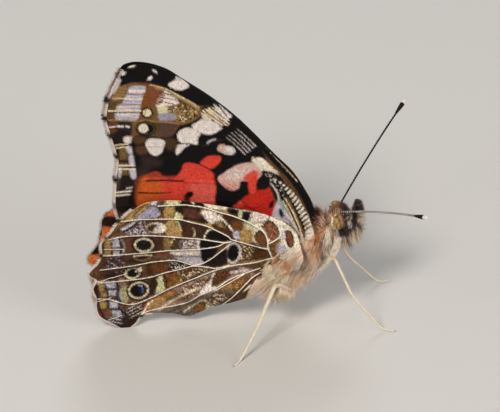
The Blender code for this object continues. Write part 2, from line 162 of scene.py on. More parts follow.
def soft_lamp(name, aim, place, size, watts, colour):
    bpy.ops.object.light_add(type="AREA", location=place)
    lamp = bpy.context.object
    lamp.name = name
    lamp.data.size = size
    lamp.data.energy = watts
    lamp.data.color = colour
    lamp.rotation_euler = (Vector(aim) - Vector(place)).to_track_quat("-Z", "Y").to_euler()


FLOOR_COLOUR = linear(214, 210, 204)
WING_MIDDLE = (-0.004, 0.0, 0.015)
soft_lamp("key lamp", WING_MIDDLE, (-0.16, -0.26, 0.34), 0.13, 1.30, (1.0, 0.97, 0.92))
soft_lamp("front lamp", WING_MIDDLE, (0.30, -0.24, 0.12), 0.24, 0.66, (1.0, 0.97, 0.94))
soft_lamp("rim lamp", WING_MIDDLE, (0.05, 0.34, 0.26), 0.16, 0.5, (0.92, 0.96, 1.0))

world = bpy.data.worlds.new("studio")
world.use_nodes = True
world.node_tree.nodes["Background"].inputs["Color"].default_value = (0.95, 0.97, 1.0, 1.0)
world.node_tree.nodes["Background"].inputs["Strength"].default_value = 0.24
bpy.context.scene.world = world
bpy.context.scene.view_settings.view_transform = "Standard"

bpy.ops.mesh.primitive_plane_add(size=3.0)
floor = bpy.context.object
floor.name = "floor"
paper = bpy.data.materials.new("pale floor")
paper.use_nodes = True
paper.node_tree.nodes["Principled BSDF"].inputs["Base Color"].default_value = (*FLOOR_COLOUR, 1.0)
paper.node_tree.nodes["Principled BSDF"].inputs["Roughness"].default_value = 0.9
floor.data.materials.append(paper)

# %% [markdown]
# ## Small tools
# A path is a smooth curve through a few chosen points. A rolled tube starts as a grid, which is
# rolled round a path ring by ring and welded shut along its seam and at its two ends, so it is
# one closed surface of even quads.

# %% Tools for paths and tubes
def curve_through(points, spacing, closed=False):
    """Points about this far apart on a smooth curve through the given points."""
    given = np.array(points, float)
    count = len(given)
    fine = []
    for i in range(count if closed else count - 1):
        if closed:
            before, start, end, after = (given[(i + k) % count] for k in (-1, 0, 1, 2))
        else:
            before, start, end, after = (given[min(max(i + k, 0), count - 1)] for k in (-1, 0, 1, 2))
        t = np.linspace(0, 1, 12, endpoint=False)[:, None]
        fine.append(
            0.5 * (2 * start + (end - before) * t + (2 * before - 5 * start + 4 * end - after) * t**2
                   + (3 * start - before - 3 * end + after) * t**3)
        )
    fine.append([given[0] if closed else given[-1]])
    fine = np.concatenate(fine)
    along = np.concatenate([[0], np.cumsum(np.linalg.norm(np.diff(fine, axis=0), axis=1))])
    wanted = np.linspace(0, along[-1], max(2, round(along[-1] / spacing)) + 1)
    sampled = np.stack([np.interp(wanted, along, fine[:, k]) for k in range(fine.shape[1])], axis=1)
    return sampled[:-1] if closed else sampled


def eased(values, at):
    """Values given at even steps from 0 to 1, read at any place between them."""
    return np.interp(at, np.linspace(0, 1, len(values)), values)


def in_metres(points):
    return (np.asarray(points, float) - (CENTRE_X, 0, 0)) * MM


def rings_along(path, radii, sides):
    """Rings of points round a path. A radius may be one number or a pair, across and upward."""
    tangents = np.gradient(path, axis=0)
    tangents /= np.linalg.norm(tangents, axis=1)[:, None]
    across = np.cross(tangents[0], (0.0, 0.0, 1.0))
    if np.linalg.norm(across) < 0.1:
        across = np.cross(tangents[0], (1.0, 0.0, 0.0))
    angles = 2 * math.pi * np.arange(sides) / sides
    rings = []
    for centre, tangent, radius in zip(path, tangents, radii):
        across = across - tangent * np.dot(across, tangent)
        across /= np.linalg.norm(across)
        up = np.cross(tangent, across)
        wide, high = radius if np.ndim(radius) else (radius, radius)
        rings.append(centre + wide * np.cos(angles)[:, None] * across + high * np.sin(angles)[:, None] * up)
    return np.array(rings)


def with_round_ends(path, radii):
    """The path with four more stations at each end, where the tube closes as a half ball."""
    path, radii = np.asarray(path, float), np.asarray(radii, float)
    bend = np.linspace(0, math.pi / 2, 5)[1:]
    shrink = np.cos(bend) + 1e-4
    size = radii if radii.ndim == 1 else radii.max(axis=1)
    front = path[0] - path[1]
    back = path[-1] - path[-2]
    front, back = front / np.linalg.norm(front), back / np.linalg.norm(back)
    before = path[0] + front * size[0] * np.sin(bend)[::-1, None]
    after = path[-1] + back * size[-1] * np.sin(bend)[:, None]
    thin_before = np.multiply.outer(shrink[::-1], radii[0])
    thin_after = np.multiply.outer(shrink, radii[-1])
    return np.concatenate([before, path, after]), np.concatenate([thin_before, radii, thin_after])


def rolled_tube(name, path, radii, sides=16, round_ends=True):
    """A closed tube round a path in body millimetres, made from a grid."""
    path, radii = np.asarray(path, float), np.asarray(radii, float)
    if round_ends:
        path, radii = with_round_ends(path, radii)
    rings = rings_along(path, radii, sides)
    rows = len(path)
    bpy.ops.object.select_all(action="DESELECT")
    bpy.ops.mesh.primitive_grid_add(x_subdivisions=sides, y_subdivisions=rows - 1, size=1.0)
    tube = bpy.context.object
    tube.name = name
    flat = np.empty(len(tube.data.vertices) * 3)
    tube.data.vertices.foreach_get("co", flat)
    flat = flat.reshape(-1, 3)
    column = np.rint((flat[:, 0] + 0.5) * sides).astype(int) % sides
    row = np.rint((flat[:, 1] + 0.5) * (rows - 1)).astype(int)
    tube.data.vertices.foreach_set("co", in_metres(rings[row, column]).ravel())
    tube.data.update()
    weld(tube)
    return tube


def weld(piece, within=2e-6):
    """Merges doubled points of this piece alone, and turns its faces out."""
    bpy.ops.object.select_all(action="DESELECT")
    piece.select_set(True)
    bpy.context.view_layer.objects.active = piece
    bpy.ops.object.mode_set(mode="EDIT")
    bpy.ops.mesh.select_all(action="SELECT")
    bpy.ops.mesh.remove_doubles(threshold=within)
    bpy.ops.mesh.normals_make_consistent(inside=False)
    bpy.ops.object.mode_set(mode="OBJECT")
    bpy.ops.object.shade_smooth()


def joined(pieces, name):
    bpy.ops.object.select_all(action="DESELECT")
    for piece in pieces:
        piece.select_set(True)
    bpy.context.view_layer.objects.active = pieces[0]
    bpy.ops.object.join()
    pieces[0].name = name
    return pieces[0]


def places_of(piece):
    """The piece's points in body millimetres."""
    flat = np.empty(len(piece.data.vertices) * 3)
    piece.data.vertices.foreach_get("co", flat)
    return flat.reshape(-1, 3) / MM + (CENTRE_X, 0, 0)


def put(piece, points):
    piece.data.vertices.foreach_set("co", in_metres(points).ravel())
    piece.data.update()


def keep_paint(piece, colours, name="paint"):
    """Stores one colour for each point, for the piece's material to read."""
    layer = piece.data.attributes.new(name, "FLOAT_COLOR", "POINT")
    rgba = np.ones((len(colours), 4), np.float32)
    rgba[:, :3] = colours
    layer.data.foreach_set("color", rgba.ravel())


def dress(piece, finish, slot, *nodes):
    """Gives a piece its finish, and hides the solids that it stands for."""
    piece.data.materials.clear()
    piece.data.materials.append(finish)
    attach(piece, "root")
    if nodes:
        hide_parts(*nodes)
    print(piece.name, len(piece.data.polygons), "faces")


# %% [markdown]
# ## Paint
# The wing scales are like paint dusted on in small patches. Each marking is told by a few points
# on the photo's own frame, smoothed into a rounded outline, and laid over what is there. The
# places are shaken a little first, so that every edge is as ragged as a row of scales.

# %% Paint tools
def shaken(x, y, by, size, seed):
    """Pixel places moved a little, back and forth over the given size."""
    draw = np.random.default_rng(seed)
    moved = [np.array(x, float), np.array(y, float)]
    for axis in (0, 1):
        for _ in range(6):
            heading = draw.uniform(0, 2 * math.pi)
            wave = 2 * math.pi / (size * draw.uniform(0.7, 1.6))
            phase = draw.uniform(0, 2 * math.pi)
            moved[axis] += by / 2.4 * np.sin(wave * (x * math.cos(heading) + y * math.sin(heading)) + phase)
    return moved


def new_sheet(x, y, ground, ragged=0.5, seed=1, rim=0.0):
    """A thing to paint on: places in the photo's pixels, and a colour at each."""
    sx, sy = shaken(x, y, ragged, 1.9, seed)
    return {"x": sx, "y": sy, "colour": np.tile(np.array(ground, float), (len(sx), 1)), "rim": rim}


def away_from_line(x, y, line):
    """Distance of each place from a line of points."""
    best = np.full(len(x), 1e9)
    for (x0, y0), (x1, y1) in zip(line[:-1], line[1:]):
        run = max((x1 - x0) ** 2 + (y1 - y0) ** 2, 1e-12)
        t = np.clip(((x - x0) * (x1 - x0) + (y - y0) * (y1 - y0)) / run, 0, 1)
        best = np.minimum(best, np.hypot(x - x0 - t * (x1 - x0), y - y0 - t * (y1 - y0)))
    return best


def within_outline(x, y, outline):
    inside = np.zeros(len(x), bool)
    for (x0, y0), (x1, y1) in zip(outline, np.roll(outline, -1, axis=0)):
        crosses = (y0 > y) != (y1 > y)
        inside ^= crosses & (x < (x1 - x0) * (y - y0) / (y1 - y0 + 1e-30) + x0)
    return inside


def edge_distance(x, y, outline):
    """Distance from a closed outline, negative inside it."""
    away = away_from_line(x, y, np.vstack([outline, outline[:1]]))
    return np.where(within_outline(x, y, outline), -away, away)


def lay(sheet, chosen, ink, cover):
    colour = sheet["colour"]
    colour[chosen] += (np.array(ink) - colour[chosen]) * cover[:, None]


def nearby(sheet, points, margin):
    low, high = np.min(points, axis=0) - margin, np.max(points, axis=0) + margin
    x, y = sheet["x"], sheet["y"]
    chosen = np.flatnonzero((x > low[0]) & (x < high[0]) & (y > low[1]) & (y < high[1]))
    return chosen, x[chosen], y[chosen]


RIM_WIDTH = 0.95
CRISP = 1.0


def patch(sheet, ink, points, soft=0.7, strength=1.0, rounded=True):
    """Lays ink inside an outline. A sheet may ask for a thin dark rim round its crisp patches."""
    outline = curve_through(points, 1.6, closed=True) if rounded else np.array(points, float)
    chosen, x, y = nearby(sheet, outline, 2 * soft + 1)
    if len(chosen):
        away = edge_distance(x, y, outline)
        lay(sheet, chosen, ink, strength * np.clip(0.5 - away / (2 * soft), 0, 1))
        if sheet["rim"] and soft <= CRISP:
            lay(sheet, chosen, BROWN_BLACK, sheet["rim"] * strength * np.clip(1 - np.abs(away) / RIM_WIDTH, 0, 1))


def box(sheet, ink, x0, x1, y0, y1, soft=0.7, strength=1.0):
    patch(sheet, ink, ((x0, y0), (x1, y0), (x1, y1), (x0, y1)), soft, strength, rounded=False)


def oval(sheet, ink, x, y, wide, high, tilt=0.0, soft=0.6, strength=1.0):
    """Lays ink on an oval of these half sizes, tilted by degrees."""
    chosen, px, py = nearby(sheet, np.array([(x, y)]), max(wide, high) + 2 * soft + 1)
    c, s = math.cos(math.radians(tilt)), math.sin(math.radians(tilt))
    u, v = (px - x) * c + (py - y) * s, (py - y) * c - (px - x) * s
    away = (np.hypot(u / wide, v / high) - 1) * min(wide, high)
    lay(sheet, chosen, ink, strength * np.clip(0.5 - away / (2 * soft), 0, 1))


def stroke(sheet, ink, points, width, soft=0.5, strength=1.0, taper=(1.0, 1.0)):
    """Draws a line of this full width. taper gives its width at the two ends."""
    line = curve_through(points, 2.5) if len(points) > 2 else np.array(points, float)
    chosen, x, y = nearby(sheet, line, width + 2 * soft + 1)
    if not len(chosen):
        return
    away = away_from_line(x, y, line)
    start = np.hypot(x - line[0][0], y - line[0][1])
    end = np.hypot(x - line[-1][0], y - line[-1][1])
    part = start / (start + end + 1e-9)
    half = width / 2 * (taper[0] + (taper[1] - taper[0]) * part)
    lay(sheet, chosen, ink, strength * np.clip(0.5 - (away - half) / (2 * soft), 0, 1))


def ring(sheet, ink, x, y, wide, high, width, tilt=0.0):
    """An oval ring, painted as its own outline."""
    angles = np.linspace(0, 2 * math.pi, 25)
    c, s = math.cos(math.radians(tilt)), math.sin(math.radians(tilt))
    u, v = wide * np.cos(angles), high * np.sin(angles)
    stroke(sheet, ink, np.column_stack((x + u * c - v * s, y + u * s + v * c)), width, 0.4)


def by_chance(column, row, seed):
    """A number from 0 to 1 that looks random, the same each time for a grid cell."""
    value = np.sin(column * 127.1 + row * 311.7 + seed * 74.7) * 43758.5453
    return value - np.floor(value)


def speckle(sheet, ink, points, amount, grain=1.0, soft=1.5, seed=5, strength=1.0):
    """Dusts single scales of ink over an outline, as round dots of uneven size."""
    outline = curve_through(points, 2.0, closed=True)
    chosen, x, y = nearby(sheet, outline, 2 * soft + 1)
    if not len(chosen):
        return
    u, v = x / grain, y / grain
    dots = np.zeros(len(chosen))
    for step in range(9):
        column, row = np.floor(u) + step % 3 - 1, np.floor(v) + step // 3 - 1
        middle_u = column + 0.5 + 0.8 * (by_chance(column, row, seed) - 0.5)
        middle_v = row + 0.5 + 0.8 * (by_chance(column, row, seed + 1) - 0.5)
        size = 0.35 + 0.35 * by_chance(column, row, seed + 2)
        there = by_chance(column, row, seed + 3) < amount
        dots = np.maximum(dots, there * np.clip((size - np.hypot(u - middle_u, v - middle_v)) / 0.3 + 0.5, 0, 1))
    cover = np.clip(0.5 - edge_distance(x, y, outline) / (2 * soft), 0, 1)
    lay(sheet, chosen, ink, strength * cover * dots)


def hatch(sheet, ink, points, heading, pitch, share, soft=0.5, strength=1.0):
    """Fills an outline with thin parallel streaks."""
    outline = curve_through(points, 2.0, closed=True)
    chosen, x, y = nearby(sheet, outline, 2)
    c, s = math.cos(math.radians(heading)), math.sin(math.radians(heading))
    across = (y * c - x * s) / pitch
    wave = np.abs(across - np.floor(across) - 0.5) * 2
    cover = np.clip(0.5 - edge_distance(x, y, outline) / (2 * soft), 0, 1)
    streak = np.clip((wave - (1 - share)) * pitch / 0.9 + 0.5, 0, 1)
    lay(sheet, chosen, ink, strength * cover * streak)


# %% [markdown]
# The inks are the colours of the scales, judged from the sunlit wing: browns and ochres on
# the hindwing, black, white and salmon red on the forewing, and cream on the raised veins.

# %% Inks
BLACK = linear(13, 10, 9)
BROWN_BLACK = linear(38, 25, 19)
DARK_BROWN = linear(78, 50, 31)
BROWN = linear(104, 73, 46)
PURPLE_BROWN = linear(92, 66, 62)
RUST = linear(128, 80, 38)
RED_BROWN = linear(132, 80, 58)
OLIVE = linear(122, 95, 58)
DARK_OLIVE = linear(88, 70, 42)
OCHRE = linear(178, 146, 92)
DEEP_OCHRE = linear(134, 92, 42)
PALE_GREEN = linear(208, 202, 158)
GREY = linear(120, 106, 96)
LILAC = linear(164, 157, 172)
LILAC_WHITE = linear(196, 188, 192)
WHITE = linear(222, 211, 204)
PINK_WHITE = linear(232, 216, 205)
PINK = linear(208, 172, 160)
PINK_BROWN = linear(158, 128, 108)
RED = linear(214, 74, 58)
DEEP_RED = linear(192, 46, 32)
ORANGE = linear(198, 100, 40)
BRIGHT_ORANGE = linear(214, 116, 56)
CREAM = linear(230, 212, 178)
PALE_CREAM = linear(236, 224, 200)
BLUE_BLACK = linear(38, 38, 56)
INK_BLUE = linear(70, 74, 122)
EYE_BLUE = linear(96, 116, 158)
LADDER_GREEN = linear(120, 160, 138)
VEIN_CREAM = linear(250, 238, 218)

# %% [markdown]
# ## The veins
# A butterfly's wing is a thin membrane stretched on tubes. From the underside the tubes stand
# out as cream ridges. The same lines raise the ridges in the mesh, and on the hindwing they lay the cream on them.

# %% Veins, as lines in the photo's pixels
FOREWING_VEINS = {
    "costa": ((309, 232), (306, 212), (300, 196), (280, 170), (262, 148), (246, 131), (228, 114), (214, 102)),
    "subcosta": ((306, 234), (299, 208), (283, 181), (262, 155), (240, 130), (222, 110), (205, 95)),
    "radius": ((305, 236), (296, 213), (280, 190), (263, 166), (246, 147), (240, 139)),
    "radius 1": ((256, 158), (240, 137), (225, 117), (205, 100), (190, 86)),
    "radius 3": ((240, 139), (228, 121), (208, 107), (190, 96), (172, 83), (160, 67)),
    "radius 4": ((208, 107), (190, 99), (165, 87), (140, 82), (118, 75)),
    "radius 5": ((190, 99), (170, 97), (150, 96), (125, 98), (110, 101)),
    "media 1": ((240, 141), (222, 134), (201, 132), (188, 126), (172, 121.5), (155, 120.5), (107, 119)),
    "media 2": ((233, 152), (215, 147), (197, 144), (177, 141), (150, 137), (111, 136)),
    "media 3": ((219, 181), (212, 170), (200, 163.5), (182, 160.5), (150, 158.5), (117, 157)),
    "cell end": ((240, 139), (233, 152), (226, 166), (219, 182)),
    "cubitus": ((305, 238), (292, 216), (276, 198), (262, 190), (248, 188), (234, 188), (219, 183)),
    "cubitus 1": ((219, 183), (200, 182.5), (182, 180.5), (150, 180.4), (117, 180)),
    "cubitus 2": ((270, 195), (258, 206), (248, 206), (238, 203), (215, 201), (180, 203), (150, 205), (118, 206)),
    "anal": ((308, 239), (290, 232), (262, 225), (220, 224), (170, 225), (119, 223)),
}
HINDWING_VEINS = {
    "subcosta": (
        (157.7, 206), (181.6, 204.8), (193.4, 205.8), (206, 208), (220, 212.4), (231.5, 215.3), (245.8, 221),
        (259.6, 228.5), (264.8, 233.6), (267.6, 240.5), (268.2, 248.6), (272.8, 258.9),
    ),
    "humeral": ((268.8, 243.4), (274.5, 240.5), (280.8, 235.4), (279.7, 230.2)),
    "radial sector": (
        (120, 222), (136.5, 219.6), (150, 219.1), (177.6, 219.1), (190.8, 222), (206, 225.7), (216.3, 230.3),
        (227.6, 236), (231.5, 239.4), (240, 241.7), (251.6, 245), (263, 248), (268.2, 248.6),
    ),
    "media 1": ((108, 240), (123.7, 236.4), (150, 235.4), (180.6, 237.4), (201, 239), (221.4, 242), (231, 241.5)),
    "media 2": (
        (103, 256), (124.7, 254.3), (150, 252.2), (171.4, 250.2), (201, 248.7), (217.9, 246), (224, 243), (231, 241.5),
    ),
    "media 3": (
        (100, 270), (130, 266), (150, 262.2), (162.8, 260.7), (175.5, 260.2), (185.7, 262.8), (192.3, 264.8),
        (201, 263.8), (211, 258.7), (218.4, 253), (230, 244),
    ),
    "cubitus 1": (
        (91, 281), (100, 282.5), (129, 280), (150, 277), (165.3, 272.4), (180.6, 269), (193.4, 265.8), (206, 266.8),
        (216.3, 267.9), (230, 264.8),
    ),
    "cubitus 2": (
        (94, 300), (107.5, 299), (130.3, 304.2), (150, 298), (165.3, 290.3), (180.6, 283.7), (195.9, 277.6),
        (211.2, 271.4), (230, 266), (237, 264.6), (254.4, 262.3), (271.7, 258.3), (290, 258),
    ),
    "anal 1": ((141, 315), (152, 310), (185.7, 302.6), (201, 294.4), (216.3, 287.8), (230, 279), (245, 273), (260, 268)),
    "anal 2": ((182.7, 318), (201, 313.8), (216.3, 308.2), (230, 299), (243, 286.7), (252, 277.6), (260, 272.4)),
}
print(len(FOREWING_VEINS), "forewing veins and", len(HINDWING_VEINS), "hindwing veins")

# %% [markdown]
# ## Forewing markings
# The underside of the forewing is the butterfly's flag: a black wing with a salmon red field, a
# row of white spots towards the tip, and a brown and lilac corner that stays in view at rest.
# The tip's ground comes first, then the black, then the bright spots over it.

# %% The tip of the forewing
def paint_forewing_tip(sheet):
    tip_ground = (
        (118, 84), (133, 81.5), (151, 83), (167, 88), (178, 94), (188, 99.5), (197, 105), (201, 111), (199, 119),
        (190, 123.5), (178, 126), (174, 134), (163, 138), (133, 138), (112, 139), (104, 125), (104, 112), (109, 100),
    )
    patch(sheet, OLIVE, tip_ground)
    speckle(sheet, BROWN, tip_ground, 0.35, 1.1)
    patch(sheet, DARK_OLIVE, ((108, 100), (116, 97), (117, 105), (114, 119), (105, 122), (104, 110)), 1.5, 0.7)
    patch(sheet, OCHRE, ((115, 88), (128, 86), (127, 92), (121, 99), (112, 100)), 1.2, 0.5)
    patch(sheet, RUST, ((132, 82), (152, 83), (158, 88), (157, 98), (152, 109), (141, 109), (143, 97), (145, 87)), 1.0)
    patch(sheet, RUST, ((140, 108), (152, 108), (140, 120), (132, 121), (131, 133), (140, 137), (131, 138), (128, 121)), 1.5)
    lilac = (
        (131, 86.5), (144, 86.2), (145.5, 89), (143, 96), (141, 104), (139.5, 112), (136.5, 119.6), (117, 119.8),
        (115.5, 112), (117.5, 106), (122.5, 103), (124.5, 98), (127.5, 93),
    )
    patch(sheet, LILAC_WHITE, lilac, 0.8)
    hatch(sheet, LILAC, lilac, 4, 3.4, 0.45, 0.8, 0.9)
    hatch(sheet, WHITE, lilac, 0, 7.6, 0.32, 0.8)
    hatch(sheet, BROWN, ((104, 92), (128, 86), (124, 99), (116, 106), (116, 119), (105, 119)), 6, 3.2, 0.4, 1.0, 0.55)
    stroke(sheet, BROWN, ((125, 94.5), (143, 94.3)), 1.3, 0.6, 0.7)
    stroke(sheet, BROWN, ((118, 105.3), (141, 105)), 1.6, 0.7, 0.6)
    stroke(sheet, CREAM, ((108, 111.2), (125, 110.8), (142, 111.2)), 1.3, 0.4)
    stroke(sheet, BROWN_BLACK, ((110, 112.9), (125, 112.8), (142, 112.8)), 1.2, 0.4, 0.9)
    stroke(sheet, CREAM, ((113, 98.6), (124, 98.4), (141, 99)), 0.9, 0.5, 0.8)


def paint_forewing_middle(sheet):
    """The pale steps and the mottled brown beyond the tip's rust column."""
    steps = ((156, 103), (160, 96), (163, 91), (168, 92), (177, 98.5), (178, 104.5), (168, 106), (158, 108))
    patch(sheet, PINK_WHITE, steps, 0.8)
    hatch(sheet, RED_BROWN, ((152, 92), (163, 89), (165, 97), (161, 104), (152, 105)), 20, 2.6, 0.66, 0.8)
    hatch(sheet, BROWN_BLACK, ((160, 92), (172, 94), (180, 101), (170, 106), (160, 104)), 12, 4.4, 0.22, 0.8, 0.8)
    stroke(sheet, OCHRE, ((157, 88.5), (168, 90.5), (180, 98), (192, 104.5), (199, 110)), 2.0, 0.7, 0.9)
    stroke(sheet, BROWN_BLACK, ((163, 93), (172, 96), (180, 101), (186, 105)), 0.8, 0.5, 0.8)
    stroke(sheet, CREAM, ((150, 84.8), (165, 88.5), (178, 95.2), (190, 101.5), (199, 107.8)), 1.0, 0.4, 0.9)
    patch(sheet, PALE_GREEN, ((158, 108), (166, 107), (170, 109.5), (166, 113.5), (159, 114)), 0.9)
    patch(sheet, LILAC, ((159, 114.4), (170, 113), (177, 116), (175, 119.6), (160, 120)), 0.9, 0.9)
    mottled = ((168, 109), (176, 105), (190, 105.5), (197, 112), (195, 119), (184, 122), (176, 120), (178, 115), (170, 112))
    patch(sheet, OLIVE, mottled, 1.0)
    speckle(sheet, BROWN_BLACK, mottled, 0.38, 1.5)
    speckle(sheet, OCHRE, mottled, 0.3, 1.4, seed=9)
    speckle(sheet, CREAM, mottled, 0.10, 1.3, seed=14)
    patch(sheet, PURPLE_BROWN, ((158, 124), (168, 122), (178, 124), (175, 130), (172, 137), (160, 137)), 1.2, 0.9)
    patch(sheet, DARK_OLIVE, ((150, 121), (160, 121), (159, 137), (150, 138)), 1.2, 0.7)
    stroke(sheet, OCHRE, ((108, 120), (130, 121), (148, 121.2), (160, 121.6), (178, 123.4)), 1.2, 0.5, 0.9)


def paint_forewing_eyespots(sheet):
    ring(sheet, BROWN_BLACK, 147.3, 113, 5.6, 5.0, 1.6)
    oval(sheet, PALE_CREAM, 147.0, 113, 4.0, 3.6)
    oval(sheet, PALE_GREEN, 146.6, 113.2, 2.2, 1.9)
    ring(sheet, OLIVE, 151, 114, 6.4, 6.2, 0.9)
    ring(sheet, BROWN_BLACK, 146, 128.6, 9.6, 7.0, 1.4)
    ring(sheet, DARK_OLIVE, 146.5, 128.6, 7.6, 5.8, 1.6)
    oval(sheet, BLACK, 147.5, 129, 6.4, 5.0)
    oval(sheet, PALE_CREAM, 143.4, 128.6, 4.7, 4.5)
    patch(sheet, LILAC_WHITE, ((141, 127), (146, 127.5), (145.6, 131), (141.5, 131)), 0.9, 0.6)
    patch(sheet, BROWN_BLACK, ((139, 133), (148, 134), (148, 138), (139, 138)), 1.4, 0.6)


def paint_forewing_margin(sheet):
    """The dark outer edge with its pale squares, and the white double lines along the folds."""
    patch(sheet, BROWN_BLACK, ((103, 120), (118, 120), (131, 121), (131, 136), (124, 139), (104, 139)), 1.2, 0.85)
    patch(sheet, RED_BROWN, ((110, 121), (118, 121), (117, 125), (109, 125)), 1.0, 0.6)
    patch(sheet, RUST, ((108, 129.5), (117, 129.5), (116, 133), (109, 133)), 1.0, 0.6)
    patch(sheet, BLUE_BLACK, ((119, 122), (128, 122), (129, 125.4), (119, 125.2)), 0.9, 0.9)
    patch(sheet, BLUE_BLACK, ((120, 129), (129, 129.2), (130, 134), (121, 134)), 0.9, 0.9)
    stroke(sheet, PINK_WHITE, ((109, 127.4), (116, 126.8)), 1.4, 0.5)
    stroke(sheet, WHITE, ((118.3, 126.4), (122.8, 126.6)), 2.2, 0.5)
    stroke(sheet, WHITE, ((126.4, 126.6), (129, 127)), 2.0, 0.5)
    patch(sheet, BROWN_BLACK, ((112, 138), (132, 138), (133, 205), (113, 205)), 1.5)
    for x0, x1, y0, y1 in ((119.5, 127, 146, 160), (119, 127.5, 163, 175)):
        box(sheet, OLIVE, x0, x1, y0, y1, 1.2, 0.95)
    patch(sheet, WHITE, ((124, 137), (132, 136.6), (132.4, 142.6), (125, 143)), 0.9)
    patch(sheet, LILAC_WHITE, ((126, 147), (132.5, 147), (133.2, 153.4), (128.6, 154)), 0.9)
    patch(sheet, LILAC_WHITE, ((129, 156), (135.5, 156), (136, 165), (130, 165)), 0.9)
    patch(sheet, LILAC_WHITE, ((129.5, 170), (135.8, 170), (136, 178), (131.5, 178.4)), 0.9)
    patch(sheet, LILAC_WHITE, ((118, 168), (121.5, 168), (120.8, 177), (118.4, 178)), 1.0)
    for y in (144.8, 147.6):
        stroke(sheet, CREAM, ((113, y + 1.4), (121, y), (128, y - 0.4)), 1.2, 0.4)
    stroke(sheet, BROWN_BLACK, ((114, 147), (122, 146.2), (134, 145.4), (146, 145)), 1.0, 0.4)
    for y in (165.8, 169.2):
        stroke(sheet, PALE_CREAM, ((117.5, y), (136, y)), 1.3, 0.4)
    stroke(sheet, BROWN_BLACK, ((118, 167.5), (137, 167.5)), 0.8, 0.4)
    for y in (191.8, 195.0):
        stroke(sheet, PALE_CREAM, ((116, y + 1), (124, y), (132, y - 0.4)), 1.5, 0.5)
    stroke(sheet, LILAC_WHITE, ((127, 188.5), (132, 187.6)), 1.6, 0.6)
    patch(sheet, PURPLE_BROWN, ((116, 179), (120, 179), (119, 189), (116, 189)), 1.2, 0.7)


# %% The black ground, the white bars and the red field
def paint_forewing_black(sheet):
    median = (
        (133, 137), (160, 137), (172, 136), (176, 131), (180, 126), (192, 122), (201, 116), (205, 106), (232, 112),
        (262, 150), (262, 165), (235, 205), (214, 206), (133, 206), (137, 180), (134, 160),
    )
    patch(sheet, BLACK, median, 1.0)
    patch(sheet, BROWN, ((133, 137), (146, 137), (146, 142), (136, 144)), 1.2, 0.8)
    patch(sheet, BROWN, ((136, 147), (145, 146), (148, 153), (140, 155), (136, 152)), 1.6, 0.7)
    patch(sheet, PURPLE_BROWN, ((143, 156), (160, 160), (160, 166), (144, 166)), 3.0, 0.4)
    patch(sheet, PURPLE_BROWN, ((138, 168), (150, 168), (148, 178), (138, 178)), 3.0, 0.35)
    patch(sheet, OLIVE, ((164, 139), (172, 138), (178, 142), (178, 148), (168, 150)), 1.8, 0.35)
    white_spot = ((145.2, 144.4), (148, 139.6), (152, 138.2), (161, 139), (165, 142), (163.8, 147), (162, 152.4),
                  (156, 155.8), (150.2, 153.6), (147, 148.6))
    patch(sheet, WHITE, white_spot, 0.8)
    stroke(sheet, PINK_BROWN, ((147, 147.2), (163, 147.2)), 1.0, 0.5, 0.5)


def paint_forewing_bars(sheet):
    """The broken white bar across the cell's end, with thin white scales streaming from it."""
    streaks = ((202, 111), (212, 107), (222, 113), (230, 121), (226, 126), (214, 122), (203, 119))
    patch(sheet, WHITE, ((196, 123), (203.6, 118.6), (213, 121), (222, 127.8), (219.5, 130.4), (210.3, 134.7),
                         (201.7, 133), (191.5, 126)), 0.7)
    patch(sheet, WHITE, ((177.2, 135), (181.6, 129.5), (190.2, 127.4), (197, 130), (201, 133.5), (198, 138),
                         (197.2, 144.4), (190, 143.3), (180, 142)), 0.7)
    patch(sheet, WHITE, ((176.4, 155), (176, 149.6), (179.6, 144.4), (190, 144.6), (184.4, 148), (180.6, 152.5)), 0.7)
    stroke(sheet, BROWN_BLACK, ((177, 143), (190, 144.2)), 0.8, 0.4, 0.8)
    patch(sheet, BROWN_BLACK, streaks, 0.8)
    hatch(sheet, CREAM, streaks, 38, 2.9, 0.62, 0.6)
    for start, end, width in (
        ((217, 105.6), (227, 119), 2.0), ((222, 105.2), (230.6, 117), 2.0), ((208, 109), (226, 121), 1.8),
        ((204, 113.5), (222, 125), 1.3), ((201.5, 115.5), (218, 127), 1.2),
    ):
        stroke(sheet, WHITE, (start, end), width, 0.45, 1.0, (0.5, 1.3))
    stroke(sheet, OCHRE, ((206, 113), (214, 118), (224, 124)), 1.6, 0.6, 0.9)
    for k in range(5):
        x, y = 226 + 2.7 * k, 137 - 2.1 * k
        stroke(sheet, WHITE, ((x, y), (x + 9, y + 7.6), (x + 19, y + 17.5)), 0.9, 0.5, 0.8, (0.3, 1.3))
    stroke(sheet, LILAC_WHITE, ((207.6, 143.2), (211, 140.6), (215.4, 139.4)), 1.8, 0.6)
    stroke(sheet, BROWN, ((203, 146), (212, 142), (222, 140)), 1.0, 0.7, 0.4)
    patch(sheet, WHITE, ((219.5, 150), (222, 147), (228, 146), (234, 148), (235.4, 152), (231, 154.8), (224, 153.8)), 0.8, 0.92)
    patch(sheet, PINK, ((217, 150), (219, 145), (224.5, 144.6), (225, 149), (221, 152)), 0.9, 0.9)
    stroke(sheet, PALE_GREEN, ((222, 152.4), (230, 154)), 1.0, 0.6, 0.7)


